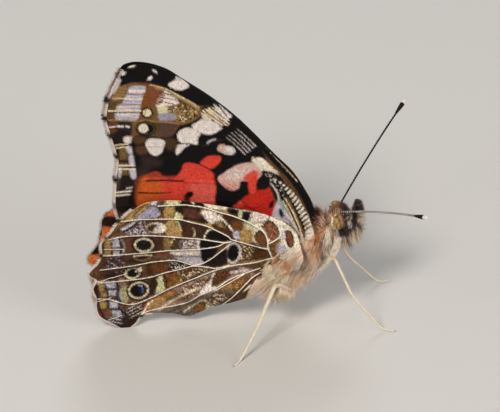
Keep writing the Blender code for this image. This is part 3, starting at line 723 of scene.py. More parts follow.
def paint_forewing_red(sheet):
    """The salmon field, warm orange towards the tail end and deep red at the wing's root."""
    patch(sheet, RED, ((200, 163), (207.4, 156.6), (217, 155.8), (221.4, 157.6), (219, 163.4), (212, 168.6), (205, 166)), 0.8)
    lobe = (
        (177, 176), (181.6, 169.7), (182.7, 165.6), (186.7, 162.4), (193.4, 163), (203.6, 166.6), (211.2, 171.2),
        (215.3, 175.8), (217.3, 182), (216, 190.6), (215, 198), (213, 206), (176, 206), (170, 190), (172, 182),
    )
    strip = ((142, 180), (146, 175.6), (152, 172.4), (158, 172), (164, 176), (178, 176.6), (182, 184), (182, 206),
             (139, 206), (142, 190))
    patch(sheet, RED, strip, 0.9)
    patch(sheet, ORANGE, ((140, 179), (160, 179), (162, 191), (158, 206), (138, 206)), 3.2, 0.9)
    patch(sheet, BROWN_BLACK, ((150, 172), (166, 173), (180, 177), (180, 179.4), (158, 178), (148, 178)), 1.6, 0.45)
    patch(sheet, RED, lobe, 0.8)
    stroke(sheet, BLACK, ((146, 180.6), (165, 180.2), (183, 180.8)), 1.8, 0.6, 0.95)
    stroke(sheet, DEEP_RED, ((184, 183), (200, 182.6), (217, 183.2)), 1.2, 0.5, 0.95)
    stroke(sheet, BROWN_BLACK, ((184, 178), (184, 190)), 0.9, 0.7, 0.5)
    stroke(sheet, BLACK, ((139, 193), (158, 193.4), (171, 192.6)), 1.4, 0.5, 0.95, (1.3, 0.5))
    stroke(sheet, BRIGHT_ORANGE, ((147, 191.2), (166, 190.8)), 0.9, 0.6, 0.6)
    patch(sheet, PINK, ((190, 184), (214, 184.4), (212, 205), (192, 205)), 3.0, 0.14)
    oval(sheet, BLACK, 189.6, 194.6, 4.0, 3.0, -15)
    box(sheet, BLACK, 184, 190, 195, 207, 1.4, 0.9)
    triangle = (
        (236, 207), (241.3, 199.4), (248.8, 191), (249, 185), (249, 178), (257, 178.6), (258, 186), (266, 189.6),
        (270.6, 184), (277, 192.5), (280, 201.7), (276, 211), (273, 219), (252, 212),
    )
    patch(sheet, DEEP_RED, triangle, 0.8)
    patch(sheet, RED, ((233, 205), (238, 200), (243, 201), (243, 206), (236, 208)), 1.0)
    stroke(sheet, BROWN_BLACK, ((241, 200), (247, 205.6), (256, 211.4)), 0.9, 0.5, 0.9)
    oval(sheet, BLACK, 271.6, 204.6, 2.0, 4.0, 25)


def paint_forewing_cell(sheet):
    """The pink end of the cell and the pale root of the costa."""
    pink = (
        (217.6, 178), (225.8, 171.6), (234.4, 166.4), (241, 164), (252, 162.8), (258, 168), (263, 174.7), (256.3, 180),
        (248.8, 181), (240.4, 181.8), (239.6, 186.7), (234.4, 190.6), (227.6, 189), (221.8, 184.6),
    )
    patch(sheet, BLACK, ((214, 176), (222, 170), (236, 160), (252, 157), (262, 166), (262, 186), (246, 196), (232, 206),
                         (216, 206), (217, 190)), 1.2)
    patch(sheet, PINK, pink, 0.8)
    hatch(sheet, RED, ((219, 180), (226, 182), (236, 184), (239, 186), (234, 190), (227, 189)), 30, 3.0, 0.5, 1.2, 0.6)
    speckle(sheet, WHITE, ((226, 172), (244, 166), (254, 168), (244, 178), (230, 180)), 0.55, 1.3)
    patch(sheet, RED, ((243, 180), (247, 174), (254, 170.5), (258, 173), (257, 179.6), (249, 181)), 1.3, 0.92)
    patch(sheet, RED, ((248.6, 178), (256.6, 178), (256, 192), (249.4, 193)), 1.0, 0.95)
    patch(sheet, PALE_CREAM, ((251.6, 160), (256, 158), (262.7, 158.2), (270.2, 165.8), (276, 173.4), (264, 172.4), (258, 168)), 0.8)
    hatch(sheet, LILAC_WHITE, ((252, 160), (262, 160), (268, 172), (262, 172)), 52, 2.4, 0.5, 0.7, 0.8)
    patch(sheet, BLACK, ((256.3, 185), (259, 178), (264, 173.6), (269, 173.5), (272, 180), (267, 188.6), (257.4, 189)), 0.9)


LADDER = (
    (279, 181.4), (284, 184), (291, 190), (297, 197), (303, 206), (308, 215.6), (312, 226), (313.6, 236), (308, 238),
    (305, 232), (301, 221), (295.7, 209), (289.5, 198), (282, 187),
)
LADDER_INNER_X = (281.0, 284.6, 288.6, 292.4, 295.8, 298.8, 301.4, 303.6, 305.4)
LADDER_INNER_Y = (185.0, 190.4, 196.6, 203.0, 209.2, 215.6, 221.8, 228.0, 234.0)
LADDER_OUTER_X = (283.6, 288.6, 293.6, 298.0, 301.8, 305.0, 307.6, 309.6, 311.0)
LADDER_OUTER_Y = (184.0, 188.4, 193.4, 199.0, 205.0, 211.6, 218.4, 225.4, 232.0)
LADDER_BARS = 14


def paint_forewing_root(sheet):
    """The costal ladder of black and white bars, and the cream veins that meet at the root."""
    patch(sheet, DARK_OLIVE, ((268, 176), (281, 184), (291, 198), (300, 218), (306, 240), (290, 236), (276, 205)), 0.8)
    patch(sheet, BLACK, ((262, 172), (281, 181), (287, 192), (284, 203), (279, 204), (270, 188)), 1.0, 0.95)
    stroke(sheet, PINK_WHITE, ((271, 183.5), (277, 192), (279, 199), (279.6, 206)), 1.5, 0.6, 0.9)
    patch(sheet, LILAC_WHITE, ((278, 200), (282, 203), (288, 213), (296, 226), (304, 241), (284, 236), (272, 220)), 1.0)
    speckle(sheet, BROWN, ((281, 212), (290, 222), (300, 238), (288, 230)), 0.3, 1.2)
    patch(sheet, LADDER_GREEN, ((280, 201), (284, 202), (285, 210), (281.4, 209)), 0.9, 0.7)
    patch(sheet, OLIVE, ((286, 201), (290, 204), (295, 214), (299, 226), (294, 220), (288, 209)), 0.9, 0.8)
    patch(sheet, BLACK, ((262, 172), (270, 171), (279, 175.4), (284, 182), (283, 188), (276, 184)), 0.8)
    speckle(sheet, WHITE, ((266, 174), (276, 178), (283, 186), (283, 198), (277, 190)), 0.24, 1.3)
    patch(sheet, PALE_CREAM, LADDER, 0.5)
    for k in range(LADDER_BARS):
        along = k / (LADDER_BARS - 1)
        x0, y0 = eased(LADDER_INNER_X, along), eased(LADDER_INNER_Y, along)
        x1, y1 = eased(LADDER_OUTER_X, along), eased(LADDER_OUTER_Y, along) - 1.6
        stroke(sheet, BLACK, ((x0, y0 + 0.6), (x1, y1)), 2.0, 0.35, 1.0, (1.25, 0.75))
    stroke(sheet, BLACK, list(zip(LADDER_INNER_X, LADDER_INNER_Y)), 1.3, 0.4)
    for shift, ink, width in ((-1.7, RUST, 1.3), (-3.3, CREAM, 1.3), (-4.8, BROWN_BLACK, 0.8), (-6.2, CREAM, 0.9)):
        line = [(x + shift, y + 0.6 * abs(shift)) for x, y in zip(LADDER_INNER_X[2:], LADDER_INNER_Y[2:])]
        stroke(sheet, ink, line, width, 0.35)
    oval(sheet, BLUE_BLACK, 281.2, 213.4, 2.2, 4.8, -12)
    patch(sheet, PINK_WHITE, ((306, 231), (311, 229), (314, 238), (306, 240)), 1.0, 0.9)
    stroke(sheet, BROWN_BLACK, ((306.4, 234), (311, 233)), 1.0, 0.5, 0.8)


def paint_forewing_edge(sheet):
    """The black costa, from the root round to the tip, with its white flecks."""
    costa = (
        (313, 226), (317, 222), (316, 206), (300, 184), (270, 150), (236, 113), (212, 93), (190, 78), (168, 64),
        (150, 60), (124, 60), (112, 76), (118, 85.7), (133.6, 82.4), (151.4, 83.6), (167.2, 88.2), (178, 94), (188, 99.4),
        (198, 105), (210, 105.5), (222, 108.5), (233, 117), (246, 132), (262, 151), (276, 166), (288, 179),
        (300, 196), (307, 210), (311, 222),
    )
    patch(sheet, BLACK, costa, 0.8)
    stroke(sheet, CREAM, ((262, 142), (271.4, 152.8), (287, 170), (297.6, 182)), 0.8, 0.4, 0.9)
    hatch(sheet, PALE_CREAM, ((252, 157), (262, 159), (274, 168), (280, 175), (270, 172), (258, 166)), -35, 2.0, 0.4, 0.7)
    patch(sheet, WHITE, ((168, 85.4), (170.5, 82), (175, 80), (176, 76), (181, 77.5), (186, 81), (189, 86.6),
                         (184, 89.5), (178, 90.2), (172, 88)), 0.7)
    hatch(sheet, BLACK, ((174, 74), (182, 76), (184, 80), (176, 80)), 40, 2.2, 0.3, 0.7, 0.8)
    for place in ((214, 104.6, 223, 114.5), (219.5, 104.4, 229.5, 117)):
        stroke(sheet, WHITE, (place[:2], place[2:]), 2.1, 0.5, 1.0, (0.6, 1.2))
    stroke(sheet, PALE_CREAM, ((225, 107), (232.4, 114)), 1.4, 0.5, 0.9)
    oval(sheet, WHITE, 131.6, 66.4, 3.4, 1.3, -10)
    oval(sheet, WHITE, 122.8, 73.6, 3.0, 1.9, -20)
    oval(sheet, WHITE, 154.8, 71.4, 2.7, 1.1, 40)
    oval(sheet, WHITE, 150.0, 78.4, 2.9, 1.6, -38)
    stroke(sheet, LILAC_WHITE, ((119.6, 80), (117.6, 85.4), (113, 92.4)), 3.0, 0.7)


def paint_forewing(sheet):
    patch(sheet, BROWN, ((118, 196), (300, 190), (310, 240), (300, 262), (118, 262)), 2.0)
    for paint_step in (
        paint_forewing_tip, paint_forewing_margin, paint_forewing_middle, paint_forewing_eyespots,
        paint_forewing_black, paint_forewing_bars, paint_forewing_red, paint_forewing_cell, paint_forewing_root,
        paint_forewing_edge,
    ):
        paint_step(sheet)


# %% [markdown]
# ## Hindwing markings
# The hindwing's underside is a mosaic of browns, ochres and whites between cream veins, with a
# row of five eyespots and a lilac and blue border. It is painted cell by cell, in the order in
# which the veins divide it, from the front edge down.

# %% The front cells of the hindwing
def paint_hindwing_front(sheet):
    front = ((112, 226), (128, 208), (152, 196), (196, 196), (240, 203), (240, 236), (180, 222), (130, 224))
    patch(sheet, OCHRE, front, 1.5)
    stroke(sheet, CREAM, ((119, 220), (128, 213), (140, 204), (152, 201)), 2.2, 0.8)
    patch(sheet, LILAC, ((135, 218), (143.6, 211.4), (148.2, 206.6), (156, 207), (162, 213), (154.6, 217.8), (136.5, 219.4)), 0.7)
    patch(sheet, LILAC_WHITE, ((150.6, 205.6), (152, 201), (160, 200), (160.6, 205.4)), 0.8)
    patch(sheet, BROWN_BLACK, ((157, 205.8), (159, 200), (166, 199), (163, 205), (166, 210), (162, 214)), 0.9, 0.8)
    patch(sheet, RUST, ((162, 214), (166, 210), (170, 212), (166, 219), (158, 219)), 1.0, 0.9)
    patch(sheet, OCHRE, ((165, 206), (181, 204), (182, 211), (176, 219), (165, 219)), 0.9)
    patch(sheet, PALE_GREEN, ((166, 204.6), (167, 199), (182, 198), (180, 204.6)), 0.8)
    patch(sheet, PALE_GREEN, ((176, 211), (181, 214), (184, 217), (182, 220.6), (174, 219)), 0.8)
    patch(sheet, BLACK, ((181.2, 205), (183, 199), (194, 198.6), (193.4, 205.4)), 0.8)
    patch(sheet, PALE_GREEN, ((193, 205), (190, 200), (196, 199), (197, 205)), 0.8)
    patch(sheet, BLACK, ((196, 206), (195, 200), (201, 201.4), (206, 206.8)), 0.8)
    patch(sheet, PALE_CREAM, ((203, 201.6), (220, 204), (237, 205), (252, 210), (268, 216), (266, 219), (248, 215), (231, 211), (210, 208.6)), 0.9)
    patch(sheet, BROWN_BLACK, ((175, 209.6), (178.6, 206), (200, 208.4), (199.5, 213.5), (208, 223), (196, 221.6),
                              (183.2, 219), (184.6, 215.6)), 0.8)
    patch(sheet, RED_BROWN, ((184, 209.6), (197, 210), (201, 218), (188, 218.6)), 2.0, 0.45)
    stroke(sheet, PALE_CREAM, ((201, 212), (204, 217), (209, 222)), 1.0, 0.5, 0.8)
    patch(sheet, PINK_WHITE, ((200.4, 212), (206, 209.6), (214, 210.6), (219, 213), (223.4, 221), (216, 226), (207, 221)), 0.8)
    oval(sheet, BLACK, 218.4, 213, 1.2, 2.2, 20)
    patch(sheet, DARK_BROWN, ((212, 226), (222, 221.5), (232, 231), (232, 238), (222, 232)), 0.9)
    patch(sheet, OCHRE, ((215, 222), (221, 222), (226, 228), (219, 227)), 1.0, 0.6)
    patch(sheet, DARK_BROWN, ((223, 215), (236, 215.6), (244, 220), (240, 231), (231, 229)), 0.9)
    patch(sheet, RUST, ((232, 222), (243, 221), (241, 231), (234, 230)), 1.4, 0.7)
    stroke(sheet, PALE_CREAM, ((223, 219.6), (228, 225), (233, 231)), 1.8, 0.5)
    patch(sheet, BLACK, ((228, 208), (240, 211), (239, 215), (230, 213.4)), 0.8)
    patch(sheet, PALE_GREEN, ((238, 213), (240, 209.6), (244, 212), (243.6, 217), (239, 218)), 0.8)
    patch(sheet, BLACK, ((243.6, 212), (252, 213), (249, 221), (243, 218.6)), 0.8)


def paint_hindwing_cell(sheet):
    """The pale cell near the wing's root, with its brown islands."""
    patch(sheet, PALE_CREAM, ((248, 222), (253, 212), (262, 212.6), (274, 217), (284, 222), (296, 232), (300, 246),
                              (296, 260), (272, 262), (266, 250), (250, 240), (244, 230)), 0.9)
    patch(sheet, PINK_WHITE, ((250, 221), (252.6, 211.6), (264, 213), (270, 218), (260, 223)), 1.0)
    patch(sheet, PALE_GREEN, ((243.6, 223), (256, 221.6), (258, 230), (248, 232)), 1.6, 0.6)
    patch(sheet, OCHRE, ((240, 232), (249, 229), (254, 236), (250, 242), (240, 241)), 1.6)
    patch(sheet, LILAC_WHITE, ((233, 232), (239, 231.4), (240, 239), (234, 239)), 1.0)
    patch(sheet, RED_BROWN, ((262.4, 227), (266, 221.6), (271, 221.4), (277.6, 228), (278.6, 235), (273.6, 240.6), (268.6, 238), (266, 232)), 0.8)
    stroke(sheet, BROWN_BLACK, ((262.6, 227), (267, 222.6), (272, 222), (277, 228)), 1.3, 0.6, 0.8)
    speckle(sheet, OCHRE, ((266, 226), (276, 228), (276, 237), (268, 235)), 0.4, 1.2)
    patch(sheet, BROWN, ((254.6, 236), (260.4, 230.6), (265.4, 236), (267.4, 246.6), (259, 244.8)), 0.8)
    patch(sheet, RUST, ((256, 236), (260, 232), (264, 237), (266, 245), (259, 244)), 1.2, 0.6)
    stroke(sheet, BROWN_BLACK, ((254.6, 236), (260, 231), (265, 235.6)), 1.2, 0.6, 0.8)
    patch(sheet, DEEP_OCHRE, ((269, 242), (276, 240.6), (282.4, 240), (281.6, 248), (271, 249)), 0.8)
    patch(sheet, DEEP_OCHRE, ((270, 247), (276.6, 248), (277, 255.6), (272.6, 256)), 1.0)
    patch(sheet, DARK_BROWN, ((253.6, 255), (259, 250.4), (267.6, 251), (270, 259), (262, 261), (255, 259.6)), 0.8)
    patch(sheet, RUST, ((256, 252.4), (266, 252.4), (268, 259), (257, 259)), 1.2, 0.45)
    patch(sheet, BROWN, ((238.5, 243), (252, 246), (253, 254), (250, 261), (240, 262), (238, 250)), 0.9)
    speckle(sheet, CREAM, ((240, 244), (252, 247), (252, 256), (240, 260)), 0.22, 1.2)
    oval(sheet, WHITE, 233.0, 252.6, 8.2, 11.0, 4)
    oval(sheet, BLACK, 233.2, 253.0, 5.6, 8.8, 6)
    patch(sheet, PALE_CREAM, ((283, 224), (292, 230), (298, 240), (300, 254), (284, 257), (280, 246), (282, 236)), 1.4)
    patch(sheet, LILAC_WHITE, ((279, 243), (290, 248), (298, 250), (298, 258), (282, 258), (276, 252)), 1.4, 0.8)
    patch(sheet, LILAC_WHITE, ((283, 226), (286, 228), (285, 240), (281, 238)), 1.2, 0.7)
    patch(sheet, RED_BROWN, ((286, 230.6), (290.6, 231.6), (293.8, 239), (291.4, 247.6), (288, 245), (286, 237)), 0.7)
    ring(sheet, BROWN_BLACK, 289.8, 239.4, 3.4, 8.2, 1.1, -10)


# %% The middle cells and the five eyespots
def paint_hindwing_middle(sheet):
    """From the second vein down to the fifth, tail end first."""
    patch(sheet, PURPLE_BROWN, ((122, 226), (136, 220.6), (168, 220.6), (166, 235), (122, 237)), 1.0)
    speckle(sheet, LILAC_WHITE, ((123, 232), (136, 222), (146, 222), (147, 235), (124, 236)), 0.4, 1.2)
    patch(sheet, OCHRE, ((167, 220.4), (179, 220.4), (182, 228), (184, 236.4), (166, 235.4)), 0.9)
    patch(sheet, PALE_GREEN, ((176, 221), (181, 221), (183, 230), (180, 231)), 1.0, 0.7)
    patch(sheet, DARK_BROWN, ((180, 221.6), (190, 222.6), (208, 227.4), (203, 238), (184, 236.6), (182, 230)), 0.9)
    stroke(sheet, CREAM, ((194, 236.6), (195, 232), (193, 228)), 1.2, 0.6, 0.7)
    stroke(sheet, PALE_CREAM, ((204, 238), (206, 233), (209, 230.6), (213, 229.6)), 1.6, 0.5)
    patch(sheet, BLACK, ((206.4, 238), (208, 232.6), (215, 230.8), (229, 237.6), (228, 240.8), (216, 240)), 0.8)
    patch(sheet, DARK_BROWN, ((124, 238), (150, 237), (170, 237.6), (170.6, 250), (150, 251.6), (124, 253.6)), 1.0)
    patch(sheet, RED_BROWN, ((124, 239), (131, 238.6), (132, 252), (125, 252.6)), 2.0, 0.45)
    patch(sheet, OCHRE, ((164, 239), (169, 238), (171, 244), (170.6, 250), (165, 249)), 1.8, 0.6)
    patch(sheet, DARK_OLIVE, ((171.6, 244.6), (174, 239.6), (180, 238.8), (182, 244), (179, 249.6), (172.6, 249.6)), 0.8)
    stroke(sheet, CREAM, ((171, 245), (172.6, 240), (175, 238.6)), 1.0, 0.4, 0.8)
    patch(sheet, GREY, ((181, 239.6), (201, 240), (200.6, 248), (180, 249)), 0.9)
    speckle(sheet, WHITE, ((183, 240), (199, 240.6), (199, 247.6), (183, 248)), 0.45, 1.3)
    stroke(sheet, BROWN_BLACK, ((181.6, 247), (182.6, 242), (187, 239.8)), 1.4, 0.6, 0.9)
    stroke(sheet, WHITE, ((199, 240.6), (198.4, 247.6)), 3.0, 0.7)
    patch(sheet, BLACK, ((201.6, 240.4), (214, 241.2), (224, 242.4), (214, 246.6), (201, 248)), 0.7)
    patch(sheet, BROWN, ((124, 255.6), (150, 253.4), (170, 251.6), (172, 260), (150, 261.8), (126, 265.6)), 1.0)
    patch(sheet, RED_BROWN, ((150, 254), (168, 252.4), (170, 256), (152, 257)), 1.6, 0.5)
    patch(sheet, PINK_WHITE, ((170, 251), (186, 250), (201.4, 249), (201, 257), (180, 256.6), (172, 255)), 0.7)
    patch(sheet, LILAC_WHITE, ((174, 256.6), (201.4, 257), (203, 263.8), (192, 264.4), (178, 260)), 0.9)
    stroke(sheet, GREY, ((150, 257.6), (172, 256.8), (186, 257), (202, 257.8)), 0.9, 0.5, 0.5)
    stroke(sheet, PURPLE_BROWN, ((152, 260.2), (172, 259.4), (186, 261.6)), 1.2, 0.8, 0.4)
    patch(sheet, BLACK, ((202, 249), (216.6, 248.6), (212, 257), (204, 262), (201.4, 256)), 0.8)
    patch(sheet, BROWN_BLACK, ((206, 263), (218, 255), (226, 249), (227, 262), (216, 266.6), (206, 265)), 0.9)
    patch(sheet, DARK_BROWN, ((150, 263), (172, 261), (190, 265.4), (178, 269.4), (150, 276)), 1.0)
    patch(sheet, RUST, ((152, 264), (168, 263), (168, 269), (154, 273)), 2.0, 0.6)
    patch(sheet, BROWN_BLACK, ((169, 262), (180, 262), (190, 265.4), (180, 269), (170, 271)), 1.0, 0.85)
    speckle(sheet, WHITE, ((170, 262), (186, 263), (182, 268.4), (172, 269.6)), 0.35, 1.3)


def paint_eyespots(sheet):
    """Five eyespots between the veins. The first is a white oval and the others are ringed."""
    oval(sheet, BROWN, 156.0, 228, 11.4, 6.2, -2)
    oval(sheet, CREAM, 156.4, 228, 10.2, 5.2, -2)
    oval(sheet, PALE_CREAM, 159.6, 228.2, 6.6, 4.8, 0)
    patch(sheet, LILAC_WHITE, ((154, 224.6), (160, 224), (161, 231.6), (154, 232)), 1.2, 0.6)
    patch(sheet, DARK_BROWN, ((147.8, 230), (148.6, 226.4), (153, 224.4), (156.6, 225.4), (154, 228), (153, 231.4)), 0.7)
    oval(sheet, BROWN_BLACK, 143.8, 245.0, 12.2, 8.8)
    oval(sheet, CREAM, 143.8, 245.2, 9.8, 7.0)
    oval(sheet, BROWN_BLACK, 143.8, 245.2, 8.1, 5.4)
    oval(sheet, BLACK, 143.8, 244.6, 4.6, 3.4)
    oval(sheet, BLUE_BLACK, 143.8, 243.2, 2.2, 1.4)
    patch(sheet, BROWN_BLACK, ((130, 258), (142, 253.4), (154, 253), (152, 258), (142, 263), (130, 263)), 1.2, 0.8)
    stroke(sheet, CREAM, ((134, 256.4), (142, 255.2), (152, 255.6)), 1.3, 0.5)
    stroke(sheet, OCHRE, ((134, 258.6), (142, 260.8), (150, 258)), 1.0, 0.6, 0.8)
    oval(sheet, BROWN_BLACK, 132.6, 273.6, 10.2, 7.4, -8)
    oval(sheet, CREAM, 132.4, 273.6, 7.8, 5.4, -10)
    oval(sheet, BLACK, 132.8, 273.2, 6.4, 4.2, -10)
    oval(sheet, PALE_CREAM, 140.0, 269.6, 2.3, 2.2)
    oval(sheet, WHITE, 136.4, 271.4, 1.0, 0.8)
    patch(sheet, GREY, ((128, 268), (136, 266), (140, 267), (134, 269)), 0.9, 0.5)
    oval(sheet, BROWN_BLACK, 138.6, 290.2, 12.6, 10.4, -12)
    oval(sheet, CREAM, 138.6, 290.4, 10.6, 8.4, -12)
    oval(sheet, BROWN_BLACK, 138.6, 290.4, 8.9, 6.8, -12)
    oval(sheet, BLACK, 137.6, 290.8, 6.0, 5.2, -12)
    patch(sheet, BLUE_BLACK, ((139, 285), (144, 286), (145, 292), (141, 295), (139, 290)), 0.9)
    stroke(sheet, EYE_BLUE, ((141.6, 287), (143, 290), (142.2, 293)), 1.2, 0.6, 0.8)
    stroke(sheet, LILAC_WHITE, ((139, 285.6), (142, 286)), 1.2, 0.5, 0.8)
    hatch(sheet, PINK_BROWN, ((128, 300), (142, 301), (156, 294), (157, 298), (144, 305), (130, 304)), -20, 3.0, 0.3, 0.8, 0.7)
    patch(sheet, BROWN_BLACK, ((150, 281), (156, 279), (156, 290), (151, 294)), 1.2, 0.7)


# %% The lower cells and the border of the hindwing
def paint_hindwing_lower(sheet):
    patch(sheet, BROWN, ((126, 281), (150, 278), (166, 273), (168, 289), (150, 297), (130, 303)), 1.2)
    patch(sheet, DARK_BROWN, ((148, 280), (158, 277), (158, 292), (150, 296), (149, 288)), 1.2, 0.8)
    patch(sheet, PALE_GREEN, ((158.6, 276.4), (162.8, 274.6), (164, 282), (165.6, 289), (156, 294), (154.8, 291), (157.6, 284), (156.4, 280)), 0.7)
    patch(sheet, DEEP_OCHRE, ((164, 274), (178, 270.6), (181, 276), (182, 282), (167, 288.4)), 0.8)
    speckle(sheet, DARK_BROWN, ((165, 275), (178, 272), (180, 282), (168, 287)), 0.35, 1.3)
    stroke(sheet, BROWN_BLACK, ((163.6, 274), (166, 280), (166.6, 288)), 1.4, 0.6, 0.9)
    stroke(sheet, PALE_GREEN, ((178, 271.6), (181.6, 276), (181, 281)), 1.6, 0.7, 0.8)
    patch(sheet, BROWN, ((181, 271), (194, 267.4), (216, 269), (200, 275), (184, 281)), 0.9)
    speckle(sheet, CREAM, ((182, 272), (194, 268.6), (210, 270), (196, 275), (184, 279)), 0.28, 1.2)
    speckle(sheet, BROWN_BLACK, ((182, 272), (194, 268.6), (210, 270), (196, 275), (184, 279)), 0.25, 1.2, seed=8)
    below = ((140, 316), (132, 306), (150, 299), (166, 291.6), (182, 285), (198, 278), (214, 272), (240, 266.6),
             (256, 272), (232, 290), (204, 296), (180, 306))
    patch(sheet, PINK_BROWN, below, 1.0)
    speckle(sheet, RUST, ((170, 296), (180, 289), (212, 276), (214, 286), (198, 293), (180, 300)), 0.42, 1.3)
    speckle(sheet, PINK_WHITE, ((170, 296), (182, 288), (208, 277), (210, 288), (190, 297)), 0.16, 1.3, seed=12)
    speckle(sheet, DARK_BROWN, ((160, 300), (182, 287), (210, 276), (212, 288), (190, 298)), 0.42, 1.3, seed=17)
    patch(sheet, DARK_BROWN, ((131, 305), (150, 300), (158, 297), (146, 304), (140, 313), (130, 311)), 1.0)
    patch(sheet, ORANGE, ((146, 303), (158, 296.6), (170, 291), (176, 292), (166, 299), (154, 306), (147, 313), (143, 313)), 1.0, 0.75)
    patch(sheet, OCHRE, ((148, 305), (156, 299), (170, 293), (173, 296), (158, 305), (150, 310)), 1.2, 0.85)
    stroke(sheet, PALE_CREAM, ((139, 314.6), (143.6, 312), (146.6, 306), (152.6, 300.6)), 1.9, 0.5)
    stroke(sheet, CREAM, ((158, 311), (172, 301), (186, 294), (200, 288)), 2.2, 0.8, 0.9)
    patch(sheet, PINK_WHITE, ((199, 294), (203, 287), (210, 280), (213, 272.6), (217, 272.6), (213, 282), (218, 290), (206, 295)), 0.9)
    patch(sheet, DARK_BROWN, ((215, 274), (224, 271), (238, 268), (230, 276), (222, 282), (212, 286)), 0.9)
    speckle(sheet, RUST, ((215, 275), (234, 270), (228, 278), (214, 285)), 0.4, 1.2)
    stroke(sheet, WHITE, ((231, 272.6), (240, 271), (248, 270)), 2.0, 0.8, 0.9)
    patch(sheet, RUST, ((219, 290), (226, 283), (240, 277.6), (250, 275), (247, 281), (238, 289), (228, 293)), 0.9, 0.95)
    speckle(sheet, OCHRE, ((220, 290), (238, 279), (248, 277), (236, 290)), 0.45, 1.2)
    speckle(sheet, BROWN_BLACK, ((220, 290), (238, 279), (248, 277), (236, 290)), 0.14, 1.2, seed=19)
    patch(sheet, RED_BROWN, ((251.6, 282), (255, 276), (262, 274.4), (262, 284), (256, 287)), 0.9)


def paint_hindwing_fold(sheet):
    """The lower edge, which folds in under the body."""
    patch(sheet, GREY, ((142, 319), (160, 311), (184, 305), (200, 297), (215, 291), (234, 292), (214, 307), (184, 318), (172, 320)), 1.2)
    hatch(sheet, BROWN_BLACK, ((144, 318), (182, 307), (196, 303), (184, 318)), -22, 4.2, 0.3, 1.0, 0.7)
    stroke(sheet, CREAM, ((184, 311.6), (196, 303.6), (203.4, 300.4), (209, 303), (213, 306.8)), 1.5, 0.5)
    patch(sheet, DEEP_OCHRE, ((194, 308), (200, 303), (205, 303), (206, 308.6), (201, 311.8)), 0.8)
    patch(sheet, PALE_GREEN, ((206, 303.6), (212, 307), (206, 310)), 0.8, 0.8)
    patch(sheet, BROWN, ((207, 298), (216, 293), (230, 294), (228, 300), (216, 306), (210, 302)), 1.0, 0.8)
    speckle(sheet, CREAM, ((208, 298), (216, 294), (228, 296), (216, 305)), 0.3, 1.2)
    patch(sheet, DARK_OLIVE, ((240, 300), (246, 290), (256, 286), (262, 288), (250, 298)), 1.2, 0.8)
    patch(sheet, PINK_BROWN, ((248, 290), (262, 282), (270, 284), (262, 292)), 1.6, 0.7)


